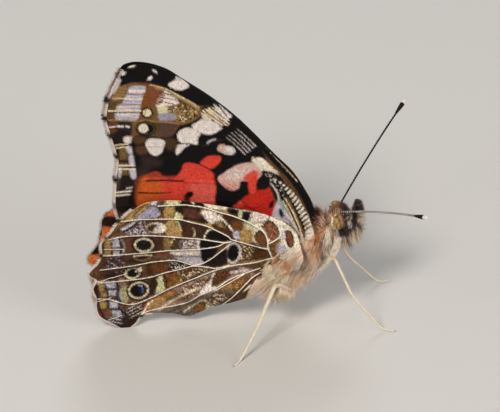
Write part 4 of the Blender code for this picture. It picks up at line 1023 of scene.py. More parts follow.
def paint_hindwing_border(sheet):
    """Lilac squares, a broken blue line and ochre squares, between the margin and the eyespots."""
    border = ((108, 236), (122, 230), (126, 250), (124, 276), (124, 300), (124, 318), (120, 332), (96, 326), (90, 300),
              (86, 278), (98, 262), (100, 244))
    patch(sheet, BROWN, border, 1.4)
    patch(sheet, DARK_BROWN, ((104, 258), (126, 256), (128, 276), (100, 280)), 2.0, 0.8)
    purple = ((107, 258), (123, 257), (122, 271), (109, 274))
    patch(sheet, PURPLE_BROWN, purple, 1.6, 0.85)
    speckle(sheet, BROWN_BLACK, purple, 0.40, 1.5, seed=23)
    speckle(sheet, LILAC, purple, 0.14, 1.2, seed=24)
    patch(sheet, BROWN_BLACK, ((105, 275.4), (115, 273), (118, 277), (109, 280.4)), 1.0, 0.85)
    patch(sheet, BROWN_BLACK, ((120, 313), (131, 308), (142, 313), (137, 325), (124, 331), (108, 326), (112, 318)), 1.2, 0.85)
    hatch(sheet, PINK_WHITE, ((127, 306), (140, 303), (142, 312), (130, 318)), -28, 3.0, 0.26, 0.8, 0.75)
    hatch(sheet, LILAC_WHITE, ((106, 317), (120, 319), (122, 325), (110, 323)), 12, 3.2, 0.34, 0.8, 0.8)
    patch(sheet, PALE_GREEN, ((120, 288), (127, 286), (129, 299), (124, 303), (119.6, 298)), 1.2, 0.6)
    patch(sheet, PINK_BROWN, ((118.6, 279), (125, 278), (125.4, 286), (119.6, 287)), 1.0, 0.8)
    for x0, x1, y0, y1 in ((112, 120.6, 237.6, 248), (112.4, 120.8, 250.6, 256.4), (104.6, 115, 281.6, 288.6),
                           (108.4, 116.4, 290, 296), (109, 119, 300.6, 308.6), (112, 122.6, 310, 317)):
        box(sheet, LILAC_WHITE, x0, x1, y0, y1, 1.0)
        speckle(sheet, LILAC, ((x0, y0), (x1, y0), (x1, y1), (x0, y1)), 0.35, 1.1)
    for line in (((119.4, 239), (120.8, 246), (120.4, 254)), ((116.4, 282), (118.6, 289), (117, 295), (119.6, 301), (118.6, 308)),
                 ((119.6, 309.6), (123, 312), (121.6, 316))):
        stroke(sheet, BLUE_BLACK, line, 2.1, 0.5)
    stroke(sheet, INK_BLUE, ((117.4, 290), (118.4, 296), (119.4, 300)), 1.5, 0.6, 0.9)
    for y in (289.3, 298.8, 309.3):
        stroke(sheet, BROWN_BLACK, ((99, y), (107, y - 0.4), (119, y + 0.4)), 1.2, 0.4, 0.9)
    stroke(sheet, BROWN_BLACK, ((112, 238), (111.6, 247), (112.4, 256)), 1.2, 0.4, 0.9)
    stroke(sheet, BROWN_BLACK, ((103, 242), (104, 250), (104.6, 257)), 1.4, 0.6, 0.8)
    stroke(sheet, LILAC_WHITE, ((122, 240), (124.6, 246), (123, 253)), 1.2, 0.6, 0.7)
    for x0, x1, y0, y1 in ((105, 111, 240, 256), (98.6, 103.8, 284.6, 291), (101, 106.6, 292.4, 297), (99.6, 106.8, 302, 308.6)):
        box(sheet, OCHRE, x0, x1, y0, y1, 1.1, 0.85)
    patch(sheet, RED_BROWN, ((99, 311), (109, 310), (110, 316), (102, 318)), 1.4, 0.8)
    patch(sheet, BROWN_BLACK, ((92, 289), (98, 287), (99, 300), (94, 300)), 1.4, 0.6)
    stroke(sheet, BROWN_BLACK, ((104.6, 284), (107, 290), (107.6, 297), (108, 308)), 1.7, 0.5, 0.9)
    stroke(sheet, BROWN_BLACK, ((97.6, 284), (96.6, 292), (98, 303), (100.6, 312), (107, 321)), 3.0, 0.9, 0.85)
    stroke(sheet, BROWN, ((121, 223.4), (132, 212.6), (145, 205)), 1.5, 0.6, 0.8)
    stroke(sheet, BROWN_BLACK, ((132, 217.6), (141, 208.6), (148, 204.4)), 1.1, 0.5, 0.8)
    stroke(sheet, LILAC, ((121.6, 229.6), (129, 226), (137, 220.4)), 2.6, 0.9)
    stroke(sheet, BLUE_BLACK, ((123, 232), (130, 228.2), (137.6, 222)), 1.8, 0.5, 0.95)
    stroke(sheet, WHITE, ((123, 229.4), (130, 225.8), (136.4, 220.8)), 1.7, 0.5, 0.95)


# %% The veins and the white lines that end them
def paint_hindwing_lines(sheet):
    stroke(sheet, OCHRE, ((227, 266.6), (250, 262.4), (272, 259.6)), 3.4, 0.9, 0.55)
    for line in HINDWING_VEINS.values():
        # Painted shadow under each vein: a dark line laid just below the cream ridge.
        stroke(sheet, BROWN_BLACK, [(x, y + 1.3) for x, y in line], 1.0, 0.6, 0.6)
        stroke(sheet, VEIN_CREAM, line, 0.5, 0.3, 0.8)
    for y in (282.0, 284.0):
        stroke(sheet, PALE_CREAM, ((97.6, y), (104, y - 1.4)), 0.9, 0.4, 0.8)


def paint_hindwing(sheet):
    for paint_step in (
        paint_hindwing_front, paint_hindwing_cell, paint_hindwing_middle, paint_hindwing_lower, paint_hindwing_fold,
        paint_hindwing_border, paint_eyespots, paint_hindwing_lines,
    ):
        paint_step(sheet)


# %% [markdown]
# ## The upper sides
# With the wings shut, the bright upper sides face each other. They show from above, between the
# two pairs, and as a strip behind the near hindwing: orange with black spots and a white fringe.

# %% Upper sides
def paint_upper_forewing(sheet):
    everywhere = ((80, 30), (340, 30), (340, 280), (80, 280))
    patch(sheet, ORANGE, everywhere)
    patch(sheet, BRIGHT_ORANGE, ((150, 160), (240, 160), (250, 200), (150, 205)), 8.0, 0.7)
    patch(sheet, RUST, ((240, 190), (290, 180), (330, 210), (330, 270), (230, 260)), 10.0, 0.8)
    patch(sheet, BLACK, ((236, 108), (180, 60), (110, 55), (95, 140), (112, 170), (140, 158), (168, 160), (186, 148), (214, 146), (232, 130)), 2.0)
    for x, y, wide, high in ((155, 146, 8, 7), (206, 128, 14, 6), (188, 136, 9, 7), (180, 86, 6, 4), (146, 113, 3, 3), (142, 129, 3, 3)):
        oval(sheet, WHITE, x, y, wide, high, 10)
    for x, y, size in ((188, 195, 6), (150, 190, 4), (210, 176, 5), (262, 182, 6), (228, 160, 6)):
        oval(sheet, BLACK, x, y, size, size * 0.8)
    patch(sheet, BLACK, ((112, 160), (126, 160), (126, 205), (112, 205)), 2.0)
    costa = ((318, 240), (319, 222), (313, 198), (297, 174), (277, 150), (255, 126), (232, 104), (205, 84))
    stroke(sheet, BROWN_BLACK, costa, 22.0, 2.0)


def paint_upper_hindwing(sheet):
    everywhere = ((60, 180), (320, 180), (320, 350), (60, 350))
    patch(sheet, BRIGHT_ORANGE, everywhere)
    patch(sheet, RUST, ((170, 180), (310, 190), (320, 300), (220, 330), (180, 300)), 14.0, 0.85)
    patch(sheet, BROWN_BLACK, ((126, 196), (116, 203), (104, 207), (104, 200), (126, 192)), 1.2)
    patch(sheet, BROWN_BLACK, ((119, 217), (118, 227), (104, 226.4), (98, 228), (98, 218)), 1.0)
    patch(sheet, BLACK, ((101, 242), (103, 250), (98, 254.4), (84, 253.6), (84, 243), (96, 241)), 1.0)
    patch(sheet, BLACK, ((92, 266), (102, 264), (102, 280), (88, 280)), 1.4)
    for x, y in ((122, 236), (118, 256), (118, 274), (122, 292), (132, 306)):
        oval(sheet, BLACK, x, y, 5.0, 4.0)
    for x, y in ((140, 232), (137, 250), (136, 268), (138, 288)):
        oval(sheet, BLACK, x, y, 4.0, 3.6)
    patch(sheet, PINK_WHITE, ((84, 244), (91, 243), (91, 253), (84, 253)), 1.0)


# %% [markdown]
# ## Wing shape
# Each wing stands on edge over the back and bulges round the body at its root. The surface is the
# same curved one that the solids have, so a place on it follows from how far it lies behind and
# above the wing's root. The plate starts as a flat grid trimmed to the wing's outline, gets its
# thickness from Solidify, and is then bent to that surface, with the veins raised as it bends.

# %% The wings' surface
def body_distance(x, z):
    """Distance from the body's axis in side view, with the half width and half height there."""
    away, wide, high = np.full(np.shape(x), 1e9), np.zeros(np.shape(x)), np.ones(np.shape(x))
    stations = ABDOMEN + THORAX
    for (x0, z0, w0, h0), (x1, z1, w1, h1) in zip(stations, stations[1:]):
        run = (x1 - x0) ** 2 + (z1 - z0) ** 2
        t = np.clip(((x - x0) * (x1 - x0) + (z - z0) * (z1 - z0)) / run, 0, 1)
        here = np.hypot(x - x0 - t * (x1 - x0), z - z0 - t * (z1 - z0))
        nearer = here < away
        away = np.where(nearer, here, away)
        wide = np.where(nearer, w0 + t * (w1 - w0), wide)
        high = np.where(nearer, h0 + t * (h1 - h0), high)
    return away, wide, high


def wing_lateral(kind, x, z):
    """How far from the middle plane the middle of a closed wing lies."""
    away, wide, high = body_distance(x, z)
    bulge = (wide + BODY_CLEARANCE) * np.exp(-((away / (BULGE_SPREAD * high)) ** 2))
    lateral = np.hypot(MIDDLE_GAP, bulge)
    if kind == "hindwing":
        from_root = np.hypot(x - HINDWING_ROOT[0], z - HINDWING_ROOT[1])
        ramp = np.minimum(LAYER_RAMP, ROOT_RAMP + 0.25 * from_root)
        lower_edge = FOREWING_ROOT[1] + 0.085 * (FOREWING_ROOT[0] - x) - 0.8
        t = np.clip((z - lower_edge + ramp) / ramp, 0, 1)
        lateral = lateral + LAYER_STEP * t * t * (3 - 2 * t)
    return lateral


def wing_place(kind, side, behind, above):
    """Where a place on the flat wing comes in side view, with its distance from the middle."""
    root = FOREWING_ROOT if kind == "forewing" else HINDWING_ROOT
    degrees = math.radians(WING_TURN[kind, side])
    c, s = math.cos(degrees), math.sin(degrees)
    x = root[0] - behind * c + above * s
    z = np.maximum(root[1] + behind * s + above * c, 0.0)
    return x, z, wing_lateral(kind, x, z)


# %% The flat plate
GRID_STEP = 0.085


def flat_points(piece):
    flat = np.empty(len(piece.data.vertices) * 3)
    piece.data.vertices.foreach_get("co", flat)
    return flat.reshape(-1, 3)


def choose_faces(piece, chosen):
    """Selects these faces of a piece that is in edit mode, and no others."""
    shape = bmesh.from_edit_mesh(piece.data)
    for face in shape.faces:
        face.select_set(False)
    shape.faces.ensure_lookup_table()
    for index in np.flatnonzero(chosen):
        shape.faces[index].select_set(True)
    bmesh.update_edit_mesh(piece.data)


def border_points(piece):
    """The points on the open edge of a flat piece."""
    sides = np.empty(len(piece.data.loops), int)
    piece.data.loops.foreach_get("edge_index", sides)
    ends = np.empty(2 * len(piece.data.edges), int)
    piece.data.edges.foreach_get("vertices", ends)
    return np.unique(ends.reshape(-1, 2)[np.bincount(sides, minlength=len(piece.data.edges)) == 1])


def flat_plate(name, outline):
    """A grid of small faces, trimmed to an outline and given its thickness."""
    low, high = outline.min(axis=0) - 0.1, outline.max(axis=0) + 0.1
    columns, rows = (math.ceil(v) for v in (high - low) / GRID_STEP)
    bpy.ops.object.select_all(action="DESELECT")
    bpy.ops.mesh.primitive_grid_add(x_subdivisions=columns, y_subdivisions=rows, size=1.0)
    plate = bpy.context.object
    plate.name = name
    grid = flat_points(plate)
    behind = low[0] + (grid[:, 0] + 0.5) * columns * GRID_STEP
    above = low[1] + (grid[:, 1] + 0.5) * rows * GRID_STEP
    plate.data.vertices.foreach_set("co", np.column_stack((behind, 0 * behind, above)).ravel() * MM)
    centres = np.empty(len(plate.data.polygons) * 3)
    plate.data.update()
    plate.data.polygons.foreach_get("center", centres)
    centres = centres.reshape(-1, 3) / MM
    outside = ~within_outline(centres[:, 0], centres[:, 2], outline)
    bpy.context.tool_settings.mesh_select_mode = (False, False, True)
    bpy.ops.object.mode_set(mode="EDIT")
    choose_faces(plate, outside)
    bpy.ops.mesh.delete(type="FACE")
    bpy.ops.object.mode_set(mode="OBJECT")
    bpy.context.tool_settings.mesh_select_mode = (True, False, False)
    points = flat_points(plate)
    border = border_points(plate)
    margin = curve_through(outline, 0.02, closed=True)
    for index in border:
        nearest = margin[np.argmin(np.sum((margin - points[index, (0, 2)] / MM) ** 2, axis=1))]
        points[index] = (nearest[0] * MM, 0, nearest[1] * MM)
    plate.data.vertices.foreach_set("co", points.ravel())
    plate.data.update()
    bpy.ops.object.modifier_add(type="SOLIDIFY")
    plate.modifiers[0].thickness = WING_THICKNESS * MM
    plate.modifiers[0].offset = 0.0
    bpy.ops.object.modifier_apply(modifier=plate.modifiers[0].name)
    return plate


# %% Painting and bending a wing
VEIN_HEIGHT = 0.06
VEIN_SPREAD = 1.2
PLEAT = 0.05
EDGE_THINNING = 0.45
HINDWING_RIM = 0.75
DEPTH_OF_TONE = 1.12
WHOLE_WING = ((60, 40), (340, 40), (340, 350), (60, 350))


def dust(sheet, strength):
    """Single darker scales all over a wing, laid this strongly."""
    speckle(sheet, BROWN_BLACK, WHOLE_WING, 0.34, 1.25, seed=21, strength=strength)


def wing_colours(kind, behind, above, outer, veins):
    """Colours of both faces, and how near each point is to a vein, in photo pixels."""
    x, z, lateral = wing_place(kind, RIGHT, behind, above)
    px, py = in_photo(np.column_stack((x, -lateral - WING_THICKNESS / 2, z)))
    colours = np.zeros((len(behind), 3))
    if kind == "forewing":
        under = new_sheet(px[outer], py[outer], BROWN, seed=3)
        paint_forewing(under)
        dust(under, 0.10)
        upper_x, upper_y = px[~outer], py[~outer]
    else:
        under = new_sheet(px[outer], py[outer], BROWN, seed=4, rim=HINDWING_RIM)
        paint_hindwing(under)
        dust(under, 0.30)
        x, z, lateral = wing_place(kind, LEFT, behind, above)
        upper_x, upper_y = in_photo(np.column_stack((x, lateral - WING_THICKNESS / 2, z))[~outer])
    upper = new_sheet(upper_x, upper_y, ORANGE, seed=5)
    (paint_upper_forewing if kind == "forewing" else paint_upper_hindwing)(upper)
    colours[outer] = under["colour"] ** DEPTH_OF_TONE
    colours[~outer] = upper["colour"]
    near_vein = np.full(len(behind), 1e9)
    for line in veins.values():
        near_vein = np.minimum(near_vein, away_from_line(px, py, curve_through(line, 3.0)))
    return colours, near_vein


def face_rise(near_vein, edge):
    """How far a face lies off the wing's middle: thin at the edge, and raised along the veins."""
    half = WING_THICKNESS / 2 * (1 - EDGE_THINNING * np.exp(-edge / 0.35))
    return half + VEIN_HEIGHT * np.exp(-((near_vein / VEIN_SPREAD) ** 2)) * np.clip(edge / 0.8, 0, 1)


def bend_wing(plate, kind, side, behind, above, outer, near_vein, edge):
    """Lays the flat plate on the wing's curved surface, veins raised, on one side of the body."""
    x, z, lateral = wing_place(kind, side, behind, above)
    rise = face_rise(near_vein, edge)
    sunk = PLEAT * np.clip(near_vein / 12, 0, 1) * np.clip(edge / 1.5, 0, 1)
    face = np.where(outer, rise - sunk, -rise - sunk)
    put(plate, np.column_stack((x, side * (lateral + face), z)))
    weld(plate, 1e-6)


def make_wings(kind, outline_points, veins):
    """Both wings of a pair, from one plate."""
    outline = curve_through(outline_points, 0.3, closed=True)
    plate = flat_plate(f"{kind}_right_plate", outline)
    points = flat_points(plate) / MM
    behind, above, outer = points[:, 0], points[:, 2], points[:, 1] < 0
    colours, near_vein = wing_colours(kind, behind, above, outer, veins)
    keep_paint(plate, colours)
    edge = away_from_line(behind, above, np.vstack([outline, outline[:1]]))
    bpy.ops.object.select_all(action="DESELECT")
    plate.select_set(True)
    bpy.ops.object.duplicate()
    other = bpy.context.object
    other.name = f"{kind}_left_plate"
    for piece, side in ((plate, RIGHT), (other, LEFT)):
        bpy.context.view_layer.objects.active = piece
        bend_wing(piece, kind, side, behind, above, outer, near_vein, edge)
    return plate, other


# %% [markdown]
# ## The wing finish
# Wing scales lie like roof tiles, far too small to model one by one: about seven to a millimetre.
# The finish takes its colour from the paint, varies it from scale to scale, and bumps the
# surface with the same fine grain. It is nearly matte.

# %% The wing finish
def add_node(tree, kind, **values):
    node = tree.nodes.new(kind)
    for name, value in values.items():
        setattr(node, name, value)
    return node


def new_finish(name, roughness):
    """A new finish, with its node tree and its main shader."""
    finish = bpy.data.materials.new(name)
    finish.use_nodes = True
    tree = finish.node_tree
    shader = tree.nodes["Principled BSDF"]
    shader.inputs["Roughness"].default_value = roughness
    return finish, tree, shader


def grain(tree, scale, detail=2.0):
    """A noise that is fixed to the piece, this many waves to a metre."""
    where = add_node(tree, "ShaderNodeTexCoord")
    noise = add_node(tree, "ShaderNodeTexNoise")
    noise.inputs["Scale"].default_value = scale
    noise.inputs["Detail"].default_value = detail
    tree.links.new(where.outputs["Object"], noise.inputs["Vector"])
    return noise


def varied(tree, colour, noise, low, high):
    """The colour made darker and lighter by a noise."""
    spread = add_node(tree, "ShaderNodeMapRange")
    spread.inputs["From Min"].default_value = 0.3
    spread.inputs["From Max"].default_value = 0.7
    spread.inputs["To Min"].default_value = low
    spread.inputs["To Max"].default_value = high
    tree.links.new(noise.outputs["Fac"], spread.inputs["Value"])
    scaled = add_node(tree, "ShaderNodeVectorMath", operation="SCALE")
    tree.links.new(colour, scaled.inputs[0])
    tree.links.new(spread.outputs["Result"], scaled.inputs["Scale"])
    return scaled.outputs["Vector"]


def bumped(tree, shader, height, strength, distance):
    bump = add_node(tree, "ShaderNodeBump")
    bump.inputs["Strength"].default_value = strength
    bump.inputs["Distance"].default_value = distance
    tree.links.new(height, bump.inputs["Height"])
    tree.links.new(bump.outputs["Normal"], shader.inputs["Normal"])


BLOTCH_SCALE = 2200.0


def painted_finish(name, roughness, low, high, grain_scale, bump, sheen, blotch=0.0):
    """A finish that reads the paint laid on the mesh, with a fine grain and soft blotches."""
    finish, tree, shader = new_finish(name, roughness)
    paint = add_node(tree, "ShaderNodeAttribute", attribute_name="paint")
    noise = grain(tree, grain_scale)
    colour = varied(tree, paint.outputs["Color"], noise, low, high)
    if blotch:
        colour = varied(tree, colour, grain(tree, BLOTCH_SCALE), 1 - blotch, 1 + blotch)
    tree.links.new(colour, shader.inputs["Base Color"])
    tree.links.new(paint.outputs["Color"], shader.inputs["Sheen Tint"])
    shader.inputs["Sheen Weight"].default_value = sheen
    shader.inputs["Sheen Roughness"].default_value = 0.5
    shader.inputs["Specular IOR Level"].default_value = 0.15
    bumped(tree, shader, noise.outputs["Fac"], bump, 0.00006)
    return finish


forewing_finish = painted_finish("forewing scales", 0.8, 0.66, 1.20, 7000.0, 0.4, 0.0, 0.12)
hindwing_finish = painted_finish("hindwing scales", 0.8, 0.50, 1.42, 7000.0, 0.5, 0.0, 0.24)

# %% The four wings
forewings = make_wings("forewing", FOREWING_OUTLINE, FOREWING_VEINS)
for wing, (side_name, _) in zip(forewings, SIDES):
    dress(wing, forewing_finish, "forewing_scales", f"forewing_{side_name}")
hindwings = make_wings("hindwing", HINDWING_OUTLINE, HINDWING_VEINS)
for wing, (side_name, _) in zip(hindwings, SIDES):
    dress(wing, hindwing_finish, "hindwing_scales", f"hindwing_{side_name}")

# %% [markdown]
# ## Vein ribs
# The hindwing's cream veins are fine tubes on its outer face, thickest towards the root. Their
# lines were read from the photo, so each point is carried along the line of sight to the wing's
# surface and laid out on the flat wing. From there it goes to both wings of the pair.

# %% Vein ribs
RIB_RADII = (0.030, 0.062)
RIB_SIDES = 8
CROSS_RIBS = {
    "anal 3": ((216, 290), (230, 282), (244, 274)),
    "end 1": ((103, 281), (108, 278.4), (116, 276.6)),
    "end 2": ((96, 302), (104, 300), (111, 297.4)),
    "end 3": ((104, 322), (112, 318.6), (122, 315)),
    "end 4": ((112, 277.6), (126, 273.6)),
    "end 5": ((104, 249.4), (111, 249), (124, 249)),
}


def on_hindwing(px, py):
    """The places on the flat hindwing that show at these pixels of the photo."""
    sight = (AHEAD * PIXELS_PER_MM * DISTANCE + np.outer(px - PHOTO_CENTRE[0], PICTURE_RIGHT)
             - np.outer(py - PHOTO_CENTRE[1], PICTURE_UP))
    lateral = np.zeros(len(px))
    for _ in range(10):
        reach = (-lateral - WING_THICKNESS / 2 - EYE_POINT[1]) / sight[:, 1]
        x, z = EYE_POINT[0] + reach * sight[:, 0], EYE_POINT[2] + reach * sight[:, 2]
        lateral = wing_lateral("hindwing", x, z)
    return HINDWING_ROOT[0] - x, z - HINDWING_ROOT[1]


def vein_ribs(side_name, side):
    outline = curve_through(HINDWING_OUTLINE, 0.3, closed=True)
    ribs = []
    for line in (*HINDWING_VEINS.values(), *CROSS_RIBS.values()):
        fine = curve_through(line, 1.5)
        behind, above = on_hindwing(fine[:, 0], fine[:, 1])
        within = within_outline(behind, above, outline)
        behind, above = behind[within], above[within]
        edge = away_from_line(behind, above, np.vstack([outline, outline[:1]]))
        x, z, lateral = wing_place("hindwing", side, behind, above)
        path = np.column_stack((x, side * (lateral + face_rise(0.0, edge)), z))
        radii = RIB_RADII[0] + (RIB_RADII[1] - RIB_RADII[0]) * np.clip(1 - behind / 20, 0, 1)
        ribs.append(rolled_tube("rib", path, radii, RIB_SIDES))
    piece = joined(ribs, f"hindwing_{side_name}_ribs")
    keep_paint(piece, np.tile(np.array(VEIN_CREAM), (len(piece.data.vertices), 1)))
    dress(piece, forewing_finish, "hindwing_scales", f"hindwing_{side_name}")
    return piece


for side_name, side in SIDES:
    print(side_name, "rib faces", len(vein_ribs(side_name, side).data.polygons))

# %% [markdown]
# ## Wing fringe
# Along its outer margin each wing ends in a fringe of long narrow scales, dark where a vein ends
# and white between the veins. Each scale is a closed sliver, and all of one wing's slivers are
# one mesh, built from arrays because there are thousands of them.

# %% Tufts
TUFT_SIDES = 3
PATCH_SIZE = 0.003


def unit(vectors):
    return vectors / np.maximum(np.linalg.norm(vectors, axis=1), 1e-9)[:, None]


def mesh_of_triangles(name, points, triangles, colours, uvs):
    """A mesh piece from arrays, with its paint and its unwrapped places."""
    mesh = bpy.data.meshes.new(name)
    mesh.vertices.add(len(points))
    mesh.vertices.foreach_set("co", in_metres(points).ravel())
    mesh.loops.add(triangles.size)
    mesh.loops.foreach_set("vertex_index", triangles.ravel().astype(np.int32))
    mesh.polygons.add(len(triangles))
    mesh.polygons.foreach_set("loop_start", np.arange(0, triangles.size, 3, dtype=np.int32))
    mesh.uv_layers.new(name="OFBake")
    mesh.uv_layers["OFBake"].data.foreach_set("uv", uvs[triangles.ravel()].ravel())
    mesh.update(calc_edges=True)
    mesh.validate()
    piece = bpy.data.objects.new(name, mesh)
    bpy.context.scene.collection.objects.link(piece)
    keep_paint(piece, colours)
    mesh.shade_smooth()
    return piece


def make_tufts(name, roots, ways, ups, lengths, widths, colours, unwrapped, bends=0.0, rings=3, flat=0.55, dark=0.7):
    """Closed tapering tufts, one for each root. bends moves the tips, in parts of the length. dark is how deep the
    painted shade at each root goes; the tuft lightens towards its tip.
    """
    count = len(roots)
    ways, ups = unit(ways), unit(ups)
    across = unit(np.cross(ways, ups))
    over = np.cross(across, ways)
    steps = np.linspace(0, 1, rings + 1)
    angles = 2 * math.pi * np.arange(TUFT_SIDES) / TUFT_SIDES + math.pi / 2
    points, shades, patches = [], [], []
    for t in steps:
        centre = roots + (ways * t + np.asarray(bends) * t * t) * lengths[:, None]
        # Painted shade: each tuft is darkened at its root, where the hairs shade each other, and lightened towards its
        # tip.
        shade = colours * (dark + (1.12 - dark) * t)
        if t == 1.0:
            points.append(centre)
            shades.append(shade)
            patches.append(unwrapped + (PATCH_SIZE / 2, PATCH_SIZE))
            break
        swell = widths * (1.0 - 0.62 * t * t) / 2
        for k, angle in enumerate(angles):
            points.append(
                centre + across * (swell * math.cos(angle))[:, None] + over * (swell * flat * math.sin(angle))[:, None]
            )
            shades.append(shade)
            patches.append(unwrapped + (PATCH_SIZE * k / (TUFT_SIDES - 1), PATCH_SIZE * t))
    each = len(points)
    pattern = [(2, 1, 0)]
    for ring_start in range(0, (rings - 1) * TUFT_SIDES, TUFT_SIDES):
        for k in range(TUFT_SIDES):
            a, b = ring_start + k, ring_start + (k + 1) % TUFT_SIDES
            pattern += [(a, b, b + TUFT_SIDES), (a, b + TUFT_SIDES, a + TUFT_SIDES)]
    last = (rings - 1) * TUFT_SIDES
    pattern += [(last + k, last + (k + 1) % TUFT_SIDES, each - 1) for k in range(TUFT_SIDES)]
    triangles = (np.arange(count)[:, None, None] * each + np.array(pattern)[None]).reshape(-1, 3)
    points = np.stack(points, axis=1).reshape(-1, 3)
    shades = np.stack(shades, axis=1).reshape(-1, 3)
    patches = np.stack(patches, axis=1).reshape(-1, 2)
    return mesh_of_triangles(name, points, triangles, shades, patches)


# %% The fringe
FRINGE_STEP = 0.055
FRINGE_LENGTH = (0.28, 0.50)
FRINGE_WIDTH = 0.085
FRINGE_PIXELS = 2.2


def fringed(kind, behind, above):
    """Where the fringe grows: the outer margin, from the tip round to the fold."""
    if kind == "forewing":
        return (behind > 18.0) & (above < 22.0) & (above > 2.0)
    return (behind > 15.5) & (above < 7.0)


def make_fringe(kind, side_name, side, outline_points, veins):
    margin = curve_through(outline_points, FRINGE_STEP, closed=True)
    forward = np.roll(margin, -1, axis=0) - np.roll(margin, 1, axis=0)
    outward = unit(np.column_stack((forward[:, 1], -forward[:, 0])))
    middle = margin.mean(axis=0)
    outward *= np.where(np.sum(outward * (margin - middle), axis=1).mean() < 0, -1, 1)
    keep = fringed(kind, margin[:, 0], margin[:, 1])
    margin, outward = margin[keep], outward[keep]
    draw = np.random.default_rng(31)
    roots, tips, colours = [], [], []
    for layer in (-1, 1):
        shift = draw.uniform(-0.2, 0.2, len(margin))
        spread = outward + np.column_stack((-outward[:, 1], outward[:, 0])) * draw.normal(0, 0.16, len(margin))[:, None]
        x, z, lateral = wing_place(kind, RIGHT, margin[:, 0], margin[:, 1])
        px, py = in_photo(np.column_stack((x, -lateral, z)))
        near = np.full(len(px), 1e9)
        for line in veins.values():
            near = np.minimum(near, np.hypot(px - line[0][0], py - line[0][1]))
            near = np.minimum(near, np.hypot(px - line[-1][0], py - line[-1][1]))
        dark = np.clip(1.5 - near / 3.2 + draw.normal(0, 0.15, len(px)), 0, 1)
        ink = np.array(PINK_WHITE) * 0.92 * (1 - dark[:, None]) + np.array(BROWN_BLACK) * dark[:, None]
        start = margin - outward * 0.10
        length = draw.uniform(*FRINGE_LENGTH, len(margin))
        end = margin + unit(spread) * length[:, None]
        for made, flat in ((roots, start), (tips, end)):
            x, z, lateral = wing_place(kind, side, flat[:, 0], flat[:, 1])
            made.append(np.column_stack((x, side * (lateral + layer * 0.03 + 0.04 * shift), z)))
        colours.append(ink)
    roots, tips, colours = np.concatenate(roots), np.concatenate(tips), np.concatenate(colours)
    ways = tips - roots
    ways[:, 2] = np.maximum(ways[:, 2], -roots[:, 2] * 0.9)
    lengths = np.linalg.norm(ways, axis=1)
    ups = np.tile((0.0, float(side), 0.0), (len(roots), 1))
    widths = draw.uniform(0.7, 1.2, len(roots)) * FRINGE_WIDTH
    unwrapped = np.column_stack(((roots[:, 0] + 20) / 45, roots[:, 2] / 45))
    return make_tufts(f"{kind}_{side_name}_fringe", roots, ways, ups, lengths, widths, colours, unwrapped,
                      rings=2, flat=0.25, dark=0.9)


hair_finish = painted_finish("hair", 0.6, 0.92, 1.12, 9000.0, 0.1, 0.7)
for kind, outline_points, veins, slot in (
    ("forewing", FOREWING_OUTLINE, FOREWING_VEINS, "forewing_scales"),
    ("hindwing", HINDWING_OUTLINE, HINDWING_VEINS, "hindwing_scales"),
):
    for side_name, side in SIDES:
        fringe = make_fringe(kind, side_name, side, outline_points, veins)
        dress(fringe, hair_finish, slot, f"{kind}_{side_name}")

# %% [markdown]
# ## Body skin
# The body is one skin from the tip of the abdomen to the face. Three rolled tubes give the
# abdomen with its rings, the thorax and the neck, and an oval gives the head. A voxel remesh
# fuses them into one closed surface, and a smoothing pass rounds the joins. It lies inside the
# solids by about the depth of the coat.

# %% Body skin
THORAX_COAT = 0.50
ABDOMEN_COAT = 0.28
HEAD = (8.80, 0.0, 12.50)
HEAD_RADII = (0.98, 1.10, 1.15)
SKIN_VOXEL = 0.11
ABDOMEN_RINGS = 8
RING_DEPTH = 0.07


def body_tube(name, stations, coat, ring_count=0):
    """A smooth tube through the stations, thinner than the solid by the depth of the coat."""
    path = curve_through(stations, 0.25)
    radii = np.maximum(path[:, 2:4] - coat, 0.22)
    if ring_count:
        along = np.linspace(0, 1, len(path)) * ring_count
        radii -= RING_DEPTH * np.exp(-(((along - np.rint(along)) / 0.09) ** 2))[:, None] * (radii > 0.4)
    centres = np.column_stack((path[:, 0], 0 * path[:, 0], path[:, 1]))
    return rolled_tube(name, centres, radii, 48)


def oval_ball(name, centre, radii, segments=48, rows=32):
    bpy.ops.object.select_all(action="DESELECT")
    bpy.ops.mesh.primitive_uv_sphere_add(segments=segments, ring_count=rows, radius=1.0)
    ball = bpy.context.object
    ball.name = name
    put(ball, flat_points(ball) * radii + centre)
    bpy.ops.object.shade_smooth()
    return ball


abdomen_tube = body_tube("abdomen tube", ABDOMEN, ABDOMEN_COAT, ABDOMEN_RINGS)
thorax_tube = body_tube("thorax tube", THORAX, THORAX_COAT)
neck_tube = rolled_tube("neck tube", ((6.6, 0, 10.9), (7.6, 0, 11.7), (8.6, 0, 12.3)), (1.1, 0.85, 0.7), 32)
head_ball = oval_ball("head ball", HEAD, HEAD_RADII)
muzzle = oval_ball("muzzle", (9.45, 0, 11.75), (0.55, 0.55, 0.70), 32, 20)
skin = joined([abdomen_tube, thorax_tube, neck_tube, head_ball, muzzle], "body_skin")
bpy.ops.object.select_all(action="DESELECT")
skin.select_set(True)
bpy.context.view_layer.objects.active = skin
bpy.ops.object.modifier_add(type="REMESH")
skin.modifiers[0].mode = "VOXEL"
skin.modifiers[0].voxel_size = SKIN_VOXEL * MM
bpy.ops.object.modifier_apply(modifier=skin.modifiers[0].name)
bpy.ops.object.modifier_add(type="SMOOTH")
skin.modifiers[0].factor = 0.5
skin.modifiers[0].iterations = 4
bpy.ops.object.modifier_apply(modifier=skin.modifiers[0].name)
bpy.ops.object.shade_smooth()
print("skin faces", len(skin.data.polygons))

# %% [markdown]
# ## Body colours
# The thorax is buff and grey below and dark brown above, with an orange spot at the hindwing's
# root. The abdomen is brown on top and cream below. The same colours go on the skin and on the
# tufts over it. They are laid for the right side, and the left side mirrors them.

